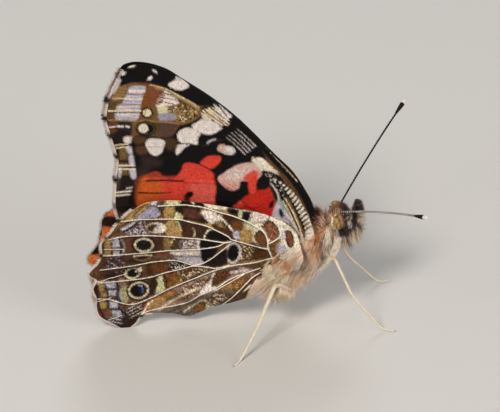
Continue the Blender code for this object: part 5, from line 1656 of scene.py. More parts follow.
# %% Body colours
FUR_BUFF = linear(238, 216, 190)
FUR_PINK = linear(242, 216, 198)
FUR_CREAM = linear(253, 230, 198)
FUR_BROWN = linear(202, 152, 108)
FUR_DARK = linear(84, 54, 36)
FUR_RUST = linear(184, 104, 58)
FUR_PURPLE = linear(78, 56, 58)
FUR_ORANGE = linear(226, 152, 82)
FUR_GREY = linear(232, 212, 200)
CHEEK_WHITE = linear(255, 240, 222)
HAIR_LIGHTEST = 0.96
BROWNER = (0.98, 0.78, 0.60)
BROWNER_SHARE = 0.16


def paint_flank(sheet):
    """The thorax and the head as the photo shows their right side."""
    patch(sheet, FUR_DARK, ((296, 190), (350, 190), (344, 206), (326, 214), (312, 226), (300, 232), (290, 220)), 5.0)
    patch(sheet, FUR_RUST, ((312, 200), (328, 196), (329, 222), (322, 242), (312, 236)), 2.0, 0.95)
    for line in (((326, 198), (322, 218), (321, 236)), ((321, 202), (316, 216), (315, 230)), ((331, 206), (327, 222), (326, 232))):
        stroke(sheet, FUR_DARK, line, 2.2, 0.9, 0.85)
    patch(sheet, FUR_BROWN, ((320, 194), (348, 194), (348, 213), (334, 216), (330, 232), (318, 234)), 2.0, 0.9)
    patch(sheet, FUR_DARK, ((322, 194), (346, 194), (345, 211), (333, 214), (324, 218)), 2.0, 0.45)
    # Purple-brown hair on the top of the thorax, laid partly as painted shade where its upper side lies in shadow.
    patch(sheet, FUR_PURPLE, ((304, 200), (321, 202), (319, 220), (311, 228)), 2.0, 0.9)
    # Streaks of dark, rust and pink hair; the pink streaks are painted highlights on the locks.
    for k, ink in enumerate((FUR_DARK, FUR_RUST, FUR_PINK, FUR_RUST, FUR_DARK, FUR_PINK)):
        stroke(sheet, ink, ((322 + 2.3 * k, 200), (319 + 2.0 * k, 214), (318.5 + 1.9 * k, 232)), 1.5, 0.6, 0.85)
    patch(sheet, FUR_ORANGE, ((312, 226), (320, 226), (322, 240), (321, 256), (316, 254), (311, 242)), 2.5, 0.8)
    patch(sheet, FUR_BROWN, ((298, 242), (316, 240), (318, 256), (306, 262), (294, 260)), 3.0, 0.5)
    patch(sheet, CHEEK_WHITE, ((276, 243), (296, 240), (298, 252), (290, 258), (277, 257)), 2.0, 0.9)
    patch(sheet, FUR_RUST, ((271, 257), (286, 257), (286, 264), (273, 266)), 1.6, 0.75)
    patch(sheet, FUR_GREY, ((294, 262), (305, 261), (304, 273), (293, 274)), 2.0, 0.9)
    patch(sheet, FUR_BROWN, ((289, 273), (307, 271), (300, 287), (288, 288)), 2.5, 0.2)
    patch(sheet, FUR_CREAM, ((266, 266), (286, 265), (287, 288), (276, 290), (264, 288)), 2.0, 0.95)
    patch(sheet, FUR_PINK, ((256, 288), (284, 288), (282, 306), (254, 304)), 2.0, 0.8)
    patch(sheet, FUR_ORANGE, ((286, 259), (292.6, 259), (294, 271), (287, 273)), 2.2, 0.8)
    patch(sheet, FUR_DARK, ((319, 244), (325, 238), (326, 256), (320, 262)), 1.6, 0.7)
    patch(sheet, CHEEK_WHITE, ((325, 232), (332.5, 230), (333, 258), (325, 260)), 1.0)
    patch(sheet, FUR_RUST, ((332.5, 231), (337.6, 231), (338, 248), (333, 250)), 1.0, 0.9)
    patch(sheet, FUR_PURPLE, ((342, 202), (353, 202), (353, 238), (344, 238), (342, 222)), 1.5, 0.95)
    oval(sheet, CHEEK_WHITE, 348.6, 217.4, 2.5, 4.2, 20)
    stroke(sheet, CHEEK_WHITE, ((331.5, 217), (330, 224), (332, 231), (336, 234.6)), 1.7, 0.6)
    stroke(sheet, FUR_DARK, ((336, 210), (331.6, 212.6), (328.6, 218), (328, 225)), 1.4, 0.6, 0.9)
    stroke(sheet, CHEEK_WHITE, ((320, 224), (322, 231), (325, 239)), 1.8, 0.6, 0.9)
    patch(sheet, FUR_ORANGE, ((316, 229), (322, 229), (322, 241), (317, 241)), 1.4, 0.8)


def flank_colours(points):
    """The coat's colour as seen from the side, at places in body millimetres."""
    right = np.column_stack((points[:, 0], -np.abs(points[:, 1]), points[:, 2]))
    px, py = in_photo(right)
    sheet = new_sheet(px, py, FUR_BUFF, 1.2, 11)
    paint_flank(sheet)
    return sheet["colour"]


def strands(colours, seed, dark_share=0.12, white_share=0.22, low=0.86):
    """Each tuft's own colour: near its place's, with a few darker, a few browner and a few white ones."""
    draw = np.random.default_rng(seed)
    pick = draw.uniform(0, 1, len(colours))
    made = colours * draw.uniform(low, 1.18, len(colours))[:, None]
    made[pick < dark_share] *= 0.5
    made[(pick > dark_share) & (pick < dark_share + BROWNER_SHARE)] *= BROWNER
    white = pick > 1 - white_share
    reach = np.clip(1.3 * made[white].mean(axis=1), 0.1, 0.7)[:, None]
    made[white] += (np.array(CHEEK_WHITE) - made[white]) * reach
    return np.minimum(made, HAIR_LIGHTEST)


def body_colours(points):
    """The coat's colour at places in body millimetres, top and abdomen too."""
    colours = flank_colours(points)
    away, wide, high = body_distance(points[:, 0], points[:, 2])
    axis_height = np.interp(points[:, 0], [s[0] for s in ABDOMEN], [s[1] for s in ABDOMEN])
    rise = (points[:, 2] - axis_height) / np.maximum(high, 0.3)
    upper = np.clip(0.5 + 1.6 * rise, 0, 1)[:, None]
    bands = 0.5 + 0.5 * np.cos(2 * math.pi * (points[:, 0] + 10.8) / 12.1 * ABDOMEN_RINGS)
    top = np.array(FUR_BROWN) * (0.75 + 0.5 * bands[:, None])
    abdomen = np.array(FUR_CREAM) * 0.9 * (1 - upper) + top * upper
    share = np.clip((1.6 - points[:, 0]) / 1.2, 0, 1)[:, None]
    above = np.clip((points[:, 2] - np.interp(points[:, 0], [s[0] for s in THORAX], [s[1] for s in THORAX]) - 1.2) / 0.9, 0, 1)
    above = (above * (points[:, 0] < 8.0))[:, None]
    thorax = colours * (1 - above) + np.array(FUR_DARK) * above
    return thorax * (1 - share) + abdomen * share


# The skin takes the coat's colours a little darker, as painted shade under the hair.
keep_paint(skin, body_colours(places_of(skin)) * 0.92)
skin_finish = painted_finish("skin", 0.8, 0.85, 1.15, 6000.0, 0.5, 0.0)
dress(skin, skin_finish, "thorax_fur", "thorax", "abdomen", "head")

# %% [markdown]
# ## The coat
# The hair lies along the body from the head backward, hangs long under the chest, and is shortest
# on the face. Roots are scattered evenly over the skin, each tuft leans along the lie of the coat
# and bends down at its tip, and neighbouring tufts wander together so that they gather in locks.

# %% The coat
def scattered(piece, count, seed):
    """Evenly scattered places on a piece, with the surface's direction there."""
    draw = np.random.default_rng(seed)
    faces = piece.data.polygons
    area = np.empty(len(faces))
    centre, normal = np.empty(3 * len(faces)), np.empty(3 * len(faces))
    faces.foreach_get("area", area)
    faces.foreach_get("center", centre)
    faces.foreach_get("normal", normal)
    chosen = draw.choice(len(faces), count, p=area / area.sum())
    jitter = draw.normal(0, 0.35, (count, 3)) * np.sqrt(area[chosen])[:, None] / MM
    normals = normal.reshape(-1, 3)[chosen]
    jitter -= normals * np.sum(jitter * normals, axis=1)[:, None]
    return centre.reshape(-1, 3)[chosen] / MM + (CENTRE_X, 0, 0) + jitter, normals


def wander(points, size, seed):
    """Smooth sideways wandering, the same for neighbouring places."""
    draw = np.random.default_rng(seed)
    total = np.zeros((len(points), 3))
    for _ in range(5):
        heading = unit(draw.normal(0, 1, (1, 3)))[0] * 2 * math.pi / (size * draw.uniform(0.7, 1.4))
        total += np.sin(points @ heading + draw.uniform(0, 6))[:, None] * unit(draw.normal(0, 1, (1, 3)))
    return total / 2.2


def under_wing(points):
    """Which places lie between the closed wings and the body."""
    hidden = np.zeros(len(points), bool)
    for root, outline in ((FOREWING_ROOT, FOREWING_OUTLINE), (HINDWING_ROOT, HINDWING_OUTLINE)):
        edge = np.array([(root[0] - b, root[1] + a) for b, a in outline])
        hidden |= within_outline(points[:, 0], points[:, 2], edge)
    return hidden


def around_body(points):
    """The body's own unwrap: the turn round it, and the way along it."""
    axis = np.interp(points[:, 0], [s[0] for s in ABDOMEN + THORAX] + [8.8], [s[1] for s in ABDOMEN + THORAX] + [12.5])
    turn = np.arctan2(points[:, 2] - axis, points[:, 1]) / (2 * math.pi) + 0.5
    return np.column_stack((0.01 + 0.97 * turn, 0.01 + 0.97 * (points[:, 0] + 11.5) / 22.5))


def coat(name, roots, normals, flow, lift, lengths, widths, slot, nodes, sag=0.25, seed=7, rings=3, white_share=0.22):
    """Lays a coat of tufts that follow the flow along the surface."""
    draw = np.random.default_rng(seed)
    flow = flow + 0.35 * wander(roots, 1.3, seed)
    along = unit(flow - normals * np.sum(flow * normals, axis=1)[:, None])
    ways = unit(along + normals * (lift * draw.uniform(0.7, 1.3, len(roots)))[:, None] + draw.normal(0, 0.07, roots.shape))
    bends = np.tile((0.0, 0.0, -sag), (len(roots), 1)) - 0.25 * normals * lift[:, None]
    colours = strands(body_colours(roots), seed + 100, white_share=white_share)
    lengths = lengths * draw.uniform(0.75, 1.2, len(roots))
    piece = make_tufts(name, roots - 0.03 * normals, ways, normals, lengths, widths, colours, around_body(roots),
                       bends, rings, dark=0.88)
    dress(piece, hair_finish, slot, *nodes)
    return piece


THORAX_TUFTS = 11000
ABDOMEN_TUFTS = 6500
HEAD_TUFTS = 4200

all_roots, all_normals = scattered(skin, 40000, 21)
covered = under_wing(all_roots)
in_head = all_roots[:, 0] > 7.75
in_abdomen = (all_roots[:, 0] < 1.3) & ~in_head
in_thorax = ~in_head & ~in_abdomen

chosen = np.flatnonzero(in_thorax)[:THORAX_TUFTS]
roots, normals = all_roots[chosen], all_normals[chosen]
low = np.clip(0.35 - 0.75 * normals[:, 2], 0, 1)
flow = np.column_stack((-1.0 + 0.25 * low, 0 * low, -0.15 - 0.85 * low))
lengths = np.where(covered[chosen], 0.45, 0.75 + 0.55 * low)
lift = np.where(covered[chosen], 0.15, 0.26 + 0.10 * low)
coat("thorax_coat", roots, normals, flow, lift, lengths, 0.10 + 0.02 * low, "thorax_fur", ("thorax",), 0.22)

chosen = np.flatnonzero(in_abdomen)[:ABDOMEN_TUFTS]
roots, normals = all_roots[chosen], all_normals[chosen]
flow = np.tile((-1.0, 0.0, -0.1), (len(roots), 1))
lengths = 0.42 + 0.22 * np.clip(-normals[:, 2], 0, 1)
coat("abdomen_coat", roots, normals, flow, np.full(len(roots), 0.18), lengths, np.full(len(roots), 0.11),
     "abdomen_scales", ("abdomen",), 0.05, 8, 2)

chosen = np.flatnonzero(in_head)[:HEAD_TUFTS]
roots, normals = all_roots[chosen], all_normals[chosen]
flow = np.column_stack((-0.4 * np.ones(len(roots)), 0 * roots[:, 1], 0.6 * np.sign(roots[:, 2] - 12.3)))
front = np.clip(normals[:, 0], 0, 1)
top = np.clip(normals[:, 2], 0, 1)
coat("head_coat", roots, normals, flow, 0.6 + 0.9 * front + 0.4 * top, 0.46 + 0.70 * front + 0.25 * top, np.full(len(roots), 0.06),
     "face_scales", ("head",), 0.05, 9, 2, 0.06)

# %% [markdown]
# ## Long hair under the chest
# Long soft locks hang from the chest in front of and behind the hind leg, and cover the leg's
# root. They are the pale, fan-shaped bunches that the photo shows under the hindwing.

# %% Chest locks
def lock_bunch(middle, spread, count, heading, length, seed):
    """Roots round a place on the flank, with the way that their hair points."""
    draw = np.random.default_rng(seed)
    offsets = draw.normal(0, 1, (count, 3)) * spread
    roots = np.array(middle) + offsets
    fan = offsets / np.array(spread) * (0.16, 0.10, 0.12)
    return roots, unit(np.array(heading) + fan), length * draw.uniform(0.7, 1.15, count)


CHEST_LOCKS = (
    ((5.5, 1.95, 8.3), (0.50, 0.16, 0.50), 1700, (-0.80, 0.14, -0.48), 1.5, 41),
    ((4.3, 2.20, 7.4), (0.55, 0.16, 0.50), 1700, (-0.76, 0.14, -0.56), 1.6, 42),
    ((3.5, 2.25, 6.3), (0.50, 0.18, 0.40), 1500, (-0.70, 0.16, -0.62), 1.4, 43),
    ((2.4, 2.50, 6.9), (0.50, 0.20, 0.50), 1300, (-0.62, 0.22, -0.66), 1.6, 44),
    ((1.7, 2.60, 5.6), (0.50, 0.25, 0.35), 1500, (-0.52, 0.20, -0.76), 1.5, 45),
    ((6.4, 1.55, 9.2), (0.35, 0.18, 0.50), 900, (-0.75, 0.12, -0.55), 1.1, 46),
    ((6.3, 0.70, 12.0), (0.55, 0.30, 0.20), 1000, (-0.62, 0.10, 0.62), 1.2, 47),
    ((7.50, 1.52, 10.9), (0.20, 0.08, 0.42), 1200, (-0.10, 0.10, -0.95), 1.0, 48),
    ((6.0, 1.80, 9.8), (0.30, 0.12, 0.80), 1100, (-0.40, 0.84, -0.20), 1.9, 49),
)
LOCK_WIDTH = 0.06
for side_name, side in SIDES:
    roots, ways, lengths = (np.concatenate(part) for part in zip(*(lock_bunch(*lock) for lock in CHEST_LOCKS)))
    roots, ways = roots * (1, side, 1), ways * (1, side, 1)
    colours = strands(flank_colours(roots + ways * 0.8), 51)
    ups = np.tile((0.0, float(side), 0.2), (len(roots), 1))
    locks = make_tufts(f"chest_locks_{side_name}", roots, ways, ups, lengths, np.full(len(roots), LOCK_WIDTH), colours,
                       around_body(roots), 0.14 * wander(roots, 0.8, 52), 3, flat=0.35, dark=0.97)
    dress(locks, hair_finish, "thorax_fur", "thorax")

# %% [markdown]
# ## Hair over the wings' roots
# From the side of the thorax the hair sweeps back over the roots of the wings, so that they seem
# to grow out of the fur. These tufts are rooted on the wing plates themselves.

# %% Hair at the wings' roots
ROOT_HAIR = {
    "hindwing": ((266, 268), (276, 261), (288, 255), (297, 247), (304, 238), (314, 236), (320, 252), (316, 270), (304, 286),
                 (286, 296), (266, 298), (252, 292), (256, 278)),
    "forewing": ((299, 240), (306, 238), (313, 236), (322, 240), (322, 270), (300, 270), (296, 252)),
}
ROOT_HAIR_TUFTS = {"hindwing": 4500, "forewing": 1500}
ROOT_HAIR_TRIES = 40000


def root_hair(kind, root, outline, side_name, side):
    draw = np.random.default_rng(91)
    x, z = draw.uniform(-2.5, 7.5, ROOT_HAIR_TRIES), draw.uniform(3.0, 12.0, ROOT_HAIR_TRIES)
    edge = np.array([(root[0] - b, root[1] + a) for b, a in curve_through(outline, 0.5, True)])
    lateral = wing_lateral(kind, x, z)
    px, py = in_photo(np.column_stack((x, -lateral, z)))
    ragged_x, ragged_y = shaken(px, py, 3.0, 8.0, 92)
    grown = within_outline(x, z, edge) & within_outline(ragged_x, ragged_y, np.array(ROOT_HAIR[kind], float))
    x, z, lateral = (part[grown][:ROOT_HAIR_TUFTS[kind]] for part in (x, z, lateral))
    roots = np.column_stack((x, side * (lateral + WING_THICKNESS / 2 - 0.02), z))
    ups = np.tile((0.0, float(side), 0.0), (len(x), 1))
    ways = unit(np.array((-0.72, 0.0, -0.62)) + 0.22 * ups + 0.28 * wander(roots, 1.5, 93) * (1, 0.3, 1)
                + draw.normal(0, 0.06, roots.shape))
    colours = strands(flank_colours(roots + ways * 0.5), 94)
    hairs = make_tufts(f"{kind}_{side_name}_root_hair", roots, ways, ups, draw.uniform(0.6, 1.3, len(x)),
                       np.full(len(x), 0.065), colours, around_body(roots), 0.0, 3, flat=0.35, dark=0.97)
    dress(hairs, hair_finish, "thorax_fur", f"{kind}_{side_name}")
    print(kind, side_name, "root hairs", len(x))


for side_name, side in SIDES:
    root_hair("hindwing", HINDWING_ROOT, HINDWING_OUTLINE, side_name, side)
    root_hair("forewing", FOREWING_ROOT, FOREWING_OUTLINE, side_name, side)

# %% [markdown]
# ## Eyes
# A painted lady's eye is a large oval dome of tiny facets, olive and gold with dark marks and a
# pale rim. The dome starts as a ball, is flattened towards the head, and carries the facets as a
# fine bump of cells.

# %% Eyes
EYE = (8.62, 1.18, 12.55)
EYE_RADII = (0.76, 0.52, 1.12)


def eye_finish():
    finish, tree, shader = new_finish("eye facets", 0.28)
    cells = add_node(tree, "ShaderNodeTexVoronoi", feature="F1")
    cells.inputs["Scale"].default_value = 24000.0
    cells.inputs["Randomness"].default_value = 0.35
    where = add_node(tree, "ShaderNodeTexCoord")
    tree.links.new(where.outputs["Object"], cells.inputs["Vector"])
    paint = add_node(tree, "ShaderNodeAttribute", attribute_name="paint")
    noise = grain(tree, 2600.0, 3.0)
    tree.links.new(varied(tree, paint.outputs["Color"], noise, 0.7, 1.35), shader.inputs["Base Color"])
    shader.inputs["Specular IOR Level"].default_value = 0.5
    shader.inputs["Coat Weight"].default_value = 0.25
    shader.inputs["Coat Roughness"].default_value = 0.12
    bumped(tree, shader, cells.outputs["Distance"], 0.3, 0.00002)
    return finish


EYE_OLIVE = linear(142, 108, 60)
EYE_GOLD = linear(198, 160, 92)
EYE_BROWN = linear(150, 82, 36)
EYE_DARK = linear(34, 22, 14)
EYE_RIM = linear(246, 226, 190)
EYE_MARKS = ((3.4, -3.6, 1.5, 3.6, 16), (-1.2, 1.6, 1.2, 4.6, -8), (4.6, 4.2, 1.4, 3.2, 6), (-5.0, -1.6, 0.9, 3.4, 10),
             (0.6, -7.4, 2.4, 1.3, 0), (-2.6, 7.2, 1.6, 1.0, 20))
faceted = eye_finish()
for side_name, side in SIDES:
    eye = oval_ball(f"eye_{side_name}_dome", (EYE[0], side * EYE[1], EYE[2]), EYE_RADII, 56, 36)
    places = places_of(eye) - (EYE[0], side * EYE[1], EYE[2])
    u, v = places[:, 0] / EYE_RADII[0], places[:, 2] / EYE_RADII[2]
    sheet = new_sheet(10 * u, -10 * v, EYE_OLIVE, 0.8, 13)
    patch(sheet, EYE_GOLD, ((-6, -3), (-1, -6), (3, -2), (2, 3), (-3, 5), (-7, 2)), 3.0, 0.8)
    for x, y, wide, high, tilt in EYE_MARKS:
        oval(sheet, EYE_DARK, x, y, wide, high, tilt, 1.0, 0.9)
    patch(sheet, EYE_BROWN, ((2, -11), (11, -8), (11, 2), (7, -1), (5, -6)), 2.0, 0.8)
    stroke(sheet, EYE_RIM, ((-6.2, -5.4), (-7.6, 0), (-6.6, 5.6), (-1.5, 8.8)), 2.2, 0.7)
    keep_paint(eye, sheet["colour"])
    dress(eye, faceted, "eye", f"eye_{side_name}")

# %% [markdown]
# ## Palps
# Two hairy palps stand up in front of the face like a beak. Each is a bent club, cream along its
# lower edge, dark on top and bristling with long grey and white scales. The core is a rolled
# tube and the bristles are tufts along it.

# %% Palps
PALP = ((8.7, 0.50, 11.2), (9.5, 0.58, 10.8), (10.4, 0.54, 11.5), (10.9, 0.46, 12.9), (11.0, 0.42, 13.95))
PALP_CORE = (0.24, 0.33, 0.35, 0.27, 0.10)
PALP_TUFTS = 3400
PALP_GREY = linear(196, 188, 192)
PALP_BROWN = linear(78, 60, 50)
PALP_BLACK = linear(30, 22, 20)


def palp_colours(places, seed):
    """Cream along the lower edge, dark in front, with a grey patch and a white tuft."""
    px, py = in_photo(np.column_stack((places[:, 0], -np.abs(places[:, 1]), places[:, 2])))
    sheet = new_sheet(px, py, PALP_BROWN, 0.8, 63)
    patch(sheet, PALP_BLACK, ((340, 206), (364, 206), (366, 226), (360, 236), (342, 238)), 1.5, 0.85)
    oval(sheet, CHEEK_WHITE, 349.0, 217.5, 2.6, 4.4, 20)
    oval(sheet, PALP_GREY, 350.0, 225.5, 2.2, 3.4, 10)
    patch(sheet, CHEEK_WHITE, ((358, 213), (366, 212), (366, 222), (359, 224)), 1.2, 0.7)
    patch(sheet, FUR_CREAM, ((334, 240), (350, 239), (360, 233), (370, 228), (362, 250), (342, 258), (334, 256)), 2.0, 0.9)
    speckle(sheet, PALP_BROWN, ((336, 240), (352, 240), (362, 234), (366, 246), (344, 256)), 0.35, 1.8)
    return strands(sheet["colour"], seed, 0.3, 0.34)


def at_part(path, part):
    """Places and headings at these parts of a path's length."""
    lengths = np.linspace(0, 1, len(path))
    spots = np.stack([np.interp(part, lengths, path[:, k]) for k in range(3)], axis=1)
    ahead = np.stack([np.interp(np.minimum(part + 0.02, 1.02), np.append(lengths, 1.02),
                                np.append(path[:, k], 2 * path[-1, k] - path[-2, k])) for k in range(3)], axis=1)
    return spots, unit(ahead - spots)


for side_name, side in SIDES:
    path = curve_through(PALP, 0.08) * (1, side, 1)
    radii = eased(PALP_CORE, np.linspace(0, 1, len(path)))
    core = rolled_tube(f"palp_{side_name}_core", path, np.column_stack((radii * 0.85, radii)), 20)
    places = places_of(core)
    keep_paint(core, np.tile(np.array(PALP_BROWN), (len(places), 1)))
    dress(core, skin_finish, "face_scales", f"palp_{side_name}")
    draw = np.random.default_rng(61)
    part = draw.uniform(0.06, 0.99, PALP_TUFTS)
    spots, ahead = at_part(path, part)
    out = unit(np.cross(ahead, draw.normal(0, 1, ahead.shape)))
    roots = spots + out * (eased(PALP_CORE, part) * 0.8)[:, None]
    facing = out @ np.array((0.75, 0.0, -0.66))
    ways = unit(out * 0.8 + ahead * 0.5 + np.array((0.15, 0.12 * side, -0.45)) * np.clip(facing + 0.4, 0, 1)[:, None])
    lengths = draw.uniform(0.42, 0.72, PALP_TUFTS) * (1 + 0.9 * np.clip(facing, 0, 1)) * (1.15 - 0.72 * part ** 2)
    beard = (facing > 0.1) & (part < 0.55) & (draw.uniform(0, 1, PALP_TUFTS) < 0.7)
    ways[beard] = unit(np.array((0.08, 0.10 * side, -0.85)) + 0.3 * out[beard] + draw.normal(0, 0.12, (beard.sum(), 3)))
    lengths[beard] = draw.uniform(1.5, 2.5, beard.sum()) * (1.1 - 0.6 * part[beard])
    colours = palp_colours(roots + ways * lengths[:, None] * 0.7, 62)
    turn = np.arctan2(out[:, 1], facing) / (2 * math.pi) + 0.5
    bristles = make_tufts(f"palp_{side_name}_coat", roots, ways, out, lengths, np.full(PALP_TUFTS, 0.06), colours,
                          np.column_stack((0.01 + 0.97 * turn, 0.01 + 0.97 * part)), 0.12 * ahead, 2, 0.4, 0.9)
    dress(bristles, hair_finish, "face_scales", f"palp_{side_name}")

# %% [markdown]
# ## Feelers
# The feelers are thin, dark and finely jointed, with a white dot at each joint, and end in a dark
# club with a white tip. Small steps in the radius make the joints, and the dots are paint.

# %% Feelers
FEELER_BASE = (8.85, 0.42, 13.2)
FEELER_TIP = {RIGHT: (18.0, 11.5, 19.2), LEFT: (17.0, 11.5, 19.2)}
FEELER_BOW = 0.35
FEELER_RADIUS = 0.11
FEELER_CLUB = 0.25
CLUB_PART = 0.14
JOINTS = 44
FEELER_BLACK = linear(24, 18, 16)
FEELER_WHITE = linear(226, 220, 206)


def feeler(side_name, side):
    start = np.array(FEELER_BASE) * (1, side, 1)
    end = np.array(FEELER_TIP[side]) * (1, side, 1)
    steps = np.linspace(0, 1, JOINTS * 8 + 1)
    path = start + (end - start) * steps[:, None]
    path[:, 2] += FEELER_BOW * 4 * steps * (1 - steps)
    within_joint = steps * JOINTS - np.floor(steps * JOINTS)
    radii = FEELER_RADIUS * (0.92 + 0.16 * np.sin(math.pi * within_joint))
    club = np.clip((steps - (1 - CLUB_PART)) / CLUB_PART, 0, 1)
    radii += (FEELER_CLUB - FEELER_RADIUS) * np.sin(math.pi * np.clip(club * 0.62, 0, 1)) ** 1.4
    radii *= np.where(steps < 0.02, 1.5, 1.0)
    rod = rolled_tube(f"feeler_{side_name}", path, radii, 14)
    places = places_of(rod)
    along = np.clip((places - start) @ (end - start) / np.sum((end - start) ** 2), 0, 1)
    spine = start + (end - start) * along[:, None]
    spine[:, 2] += FEELER_BOW * 4 * along * (1 - along)
    ahead = unit((end - start)[None])[0]
    out = places - spine
    out = unit(out - (out @ ahead)[:, None] * ahead)
    scaled_side = out @ np.array((-0.35, 0.70 * side, 0.62))
    joint = along * JOINTS - np.floor(along * JOINTS)
    dotted = (joint < 0.42) & (scaled_side > 0.3) & (along < 1 - CLUB_PART * 0.9)
    colours = np.tile(np.array(FEELER_BLACK), (len(places), 1))
    colours[dotted] = FEELER_WHITE
    colours[along > 0.978] = FEELER_WHITE
    keep_paint(rod, colours)
    return rod


feeler_finish = painted_finish("feeler", 0.5, 0.9, 1.1, 12000.0, 0.2, 0.0)
for side_name, side in SIDES:
    dress(feeler(side_name, side), feeler_finish, "antenna", f"antenna_{side_name}")

# %% [markdown]
# ## Tongue
# The long tongue is wound into a flat spiral between the palps. It follows a spiral path and
# thins towards its inner end.

# %% Tongue
TONGUE_MIDDLE = (9.95, 0.0, 11.75)
turns = np.linspace(0, 2.6 * 2 * math.pi, 150)
coil = 0.62 - 0.46 * turns / turns[-1]
spiral = np.column_stack((TONGUE_MIDDLE[0] - coil * np.cos(turns), 0 * turns, TONGUE_MIDDLE[2] + coil * np.sin(turns)))
tongue = rolled_tube("tongue", spiral, np.linspace(0.10, 0.055, len(spiral)), 12)
keep_paint(tongue, np.tile(np.array(linear(96, 62, 34)), (len(tongue.data.vertices), 1)))
dress(tongue, painted_finish("tongue", 0.4, 0.85, 1.1, 9000.0, 0.3, 0.0), "face_scales")

# %% [markdown]
# ## Legs
# The four walking legs are slim cream rods with a knee, an ankle and a jointed foot that ends in
# two small claws. Short spines point down and outward along the shin. The two front legs are small,
# hairy and folded against the chest, so the butterfly seems to stand on four.

# %% Legs
FOOT_HEIGHT = 0.12
MIDLEG = ((5.2, 1.0, 7.8), (6.3, 2.25, 7.0), (8.0, 2.8, 9.1), (9.75, 3.8, 4.35), (12.9, 4.6, FOOT_HEIGHT),
          (14.1, 4.85, FOOT_HEIGHT))
HINDLEG = ((3.0, 1.0, 6.2), (3.1, 2.7, 4.9), (1.5, 4.3, 7.0), (-0.85, 6.3, 2.75), (-2.9, 8.5, FOOT_HEIGHT),
           (-3.6, 9.4, FOOT_HEIGHT))
FORELEG = ((6.7, 1.0, 9.7), (7.5, 2.2, 8.3), (8.3, 2.05, 9.6), (8.55, 1.9, 10.6))
BEND = 0.75
LEG_SHAPES = {
    "midleg": (MIDLEG, (0.30, 0.24), (0.175, 0.15), (0.14, 0.105)),
    "hindleg": (HINDLEG, (0.32, 0.25), (0.235, 0.175), (0.155, 0.11)),
}
FOOT_JOINTS = 5
LEG_CREAM = linear(228, 214, 190)
LEG_PALE = linear(236, 228, 214)
LEG_GOLD = linear(176, 128, 66)


def bent_path(corners):
    """The leg's path with rounded corners, parted in the middle of each corner."""
    corners = [np.array(c, float) for c in corners]
    pieces, piece = [], [corners[0]]
    for before, corner, after in zip(corners, corners[1:], corners[2:]):
        back, on = before - corner, after - corner
        start = corner + back * min(BEND / np.linalg.norm(back), 0.45)
        end = corner + on * min(BEND / np.linalg.norm(on), 0.45)
        arc = [(1 - t) ** 2 * start + 2 * t * (1 - t) * corner + t * t * end for t in np.linspace(0, 1, 9)]
        piece += arc[:5]
        pieces.append(np.array(piece))
        piece = arc[4:]
    piece.append(corners[-1])
    pieces.append(np.array(piece))
    return pieces


def evenly(path, spacing):
    """The same path with evenly spaced points."""
    along = np.concatenate([[0], np.cumsum(np.linalg.norm(np.diff(path, axis=0), axis=1))])
    wanted = np.linspace(0, along[-1], max(2, round(along[-1] / spacing)) + 1)
    return np.stack([np.interp(wanted, along, path[:, k]) for k in range(3)], axis=1)


def leg_tube(name, path, radii, sides, joints=0):
    """One stretch of a leg. Joints are small steps in the radius, as on a foot."""
    path = evenly(path, 0.05)
    steps = np.linspace(0, 1, len(path))
    radius = radii[0] + (radii[1] - radii[0]) * steps
    if joints:
        within_joint = steps * joints - np.floor(steps * joints)
        radius = radius * (0.86 + 0.24 * within_joint ** 2)
    tube = rolled_tube(name, path, radius, sides)
    places = places_of(tube)
    places[:, 2] = np.maximum(places[:, 2], 0.0)
    put(tube, places)
    return tube, path


def spines(path, count, length, spread, seed):
    """Short spines along a stretch, pointing outward and towards the foot."""
    draw = np.random.default_rng(seed)
    part = (np.arange(count) + draw.uniform(0.2, 0.8, count)) / count
    spots, ahead = at_part(path, part)
    out = unit(np.cross(ahead, draw.normal(0, 1, ahead.shape)))
    return spots + out * spread, unit(out * 0.55 + ahead), out, np.full(count, length), part


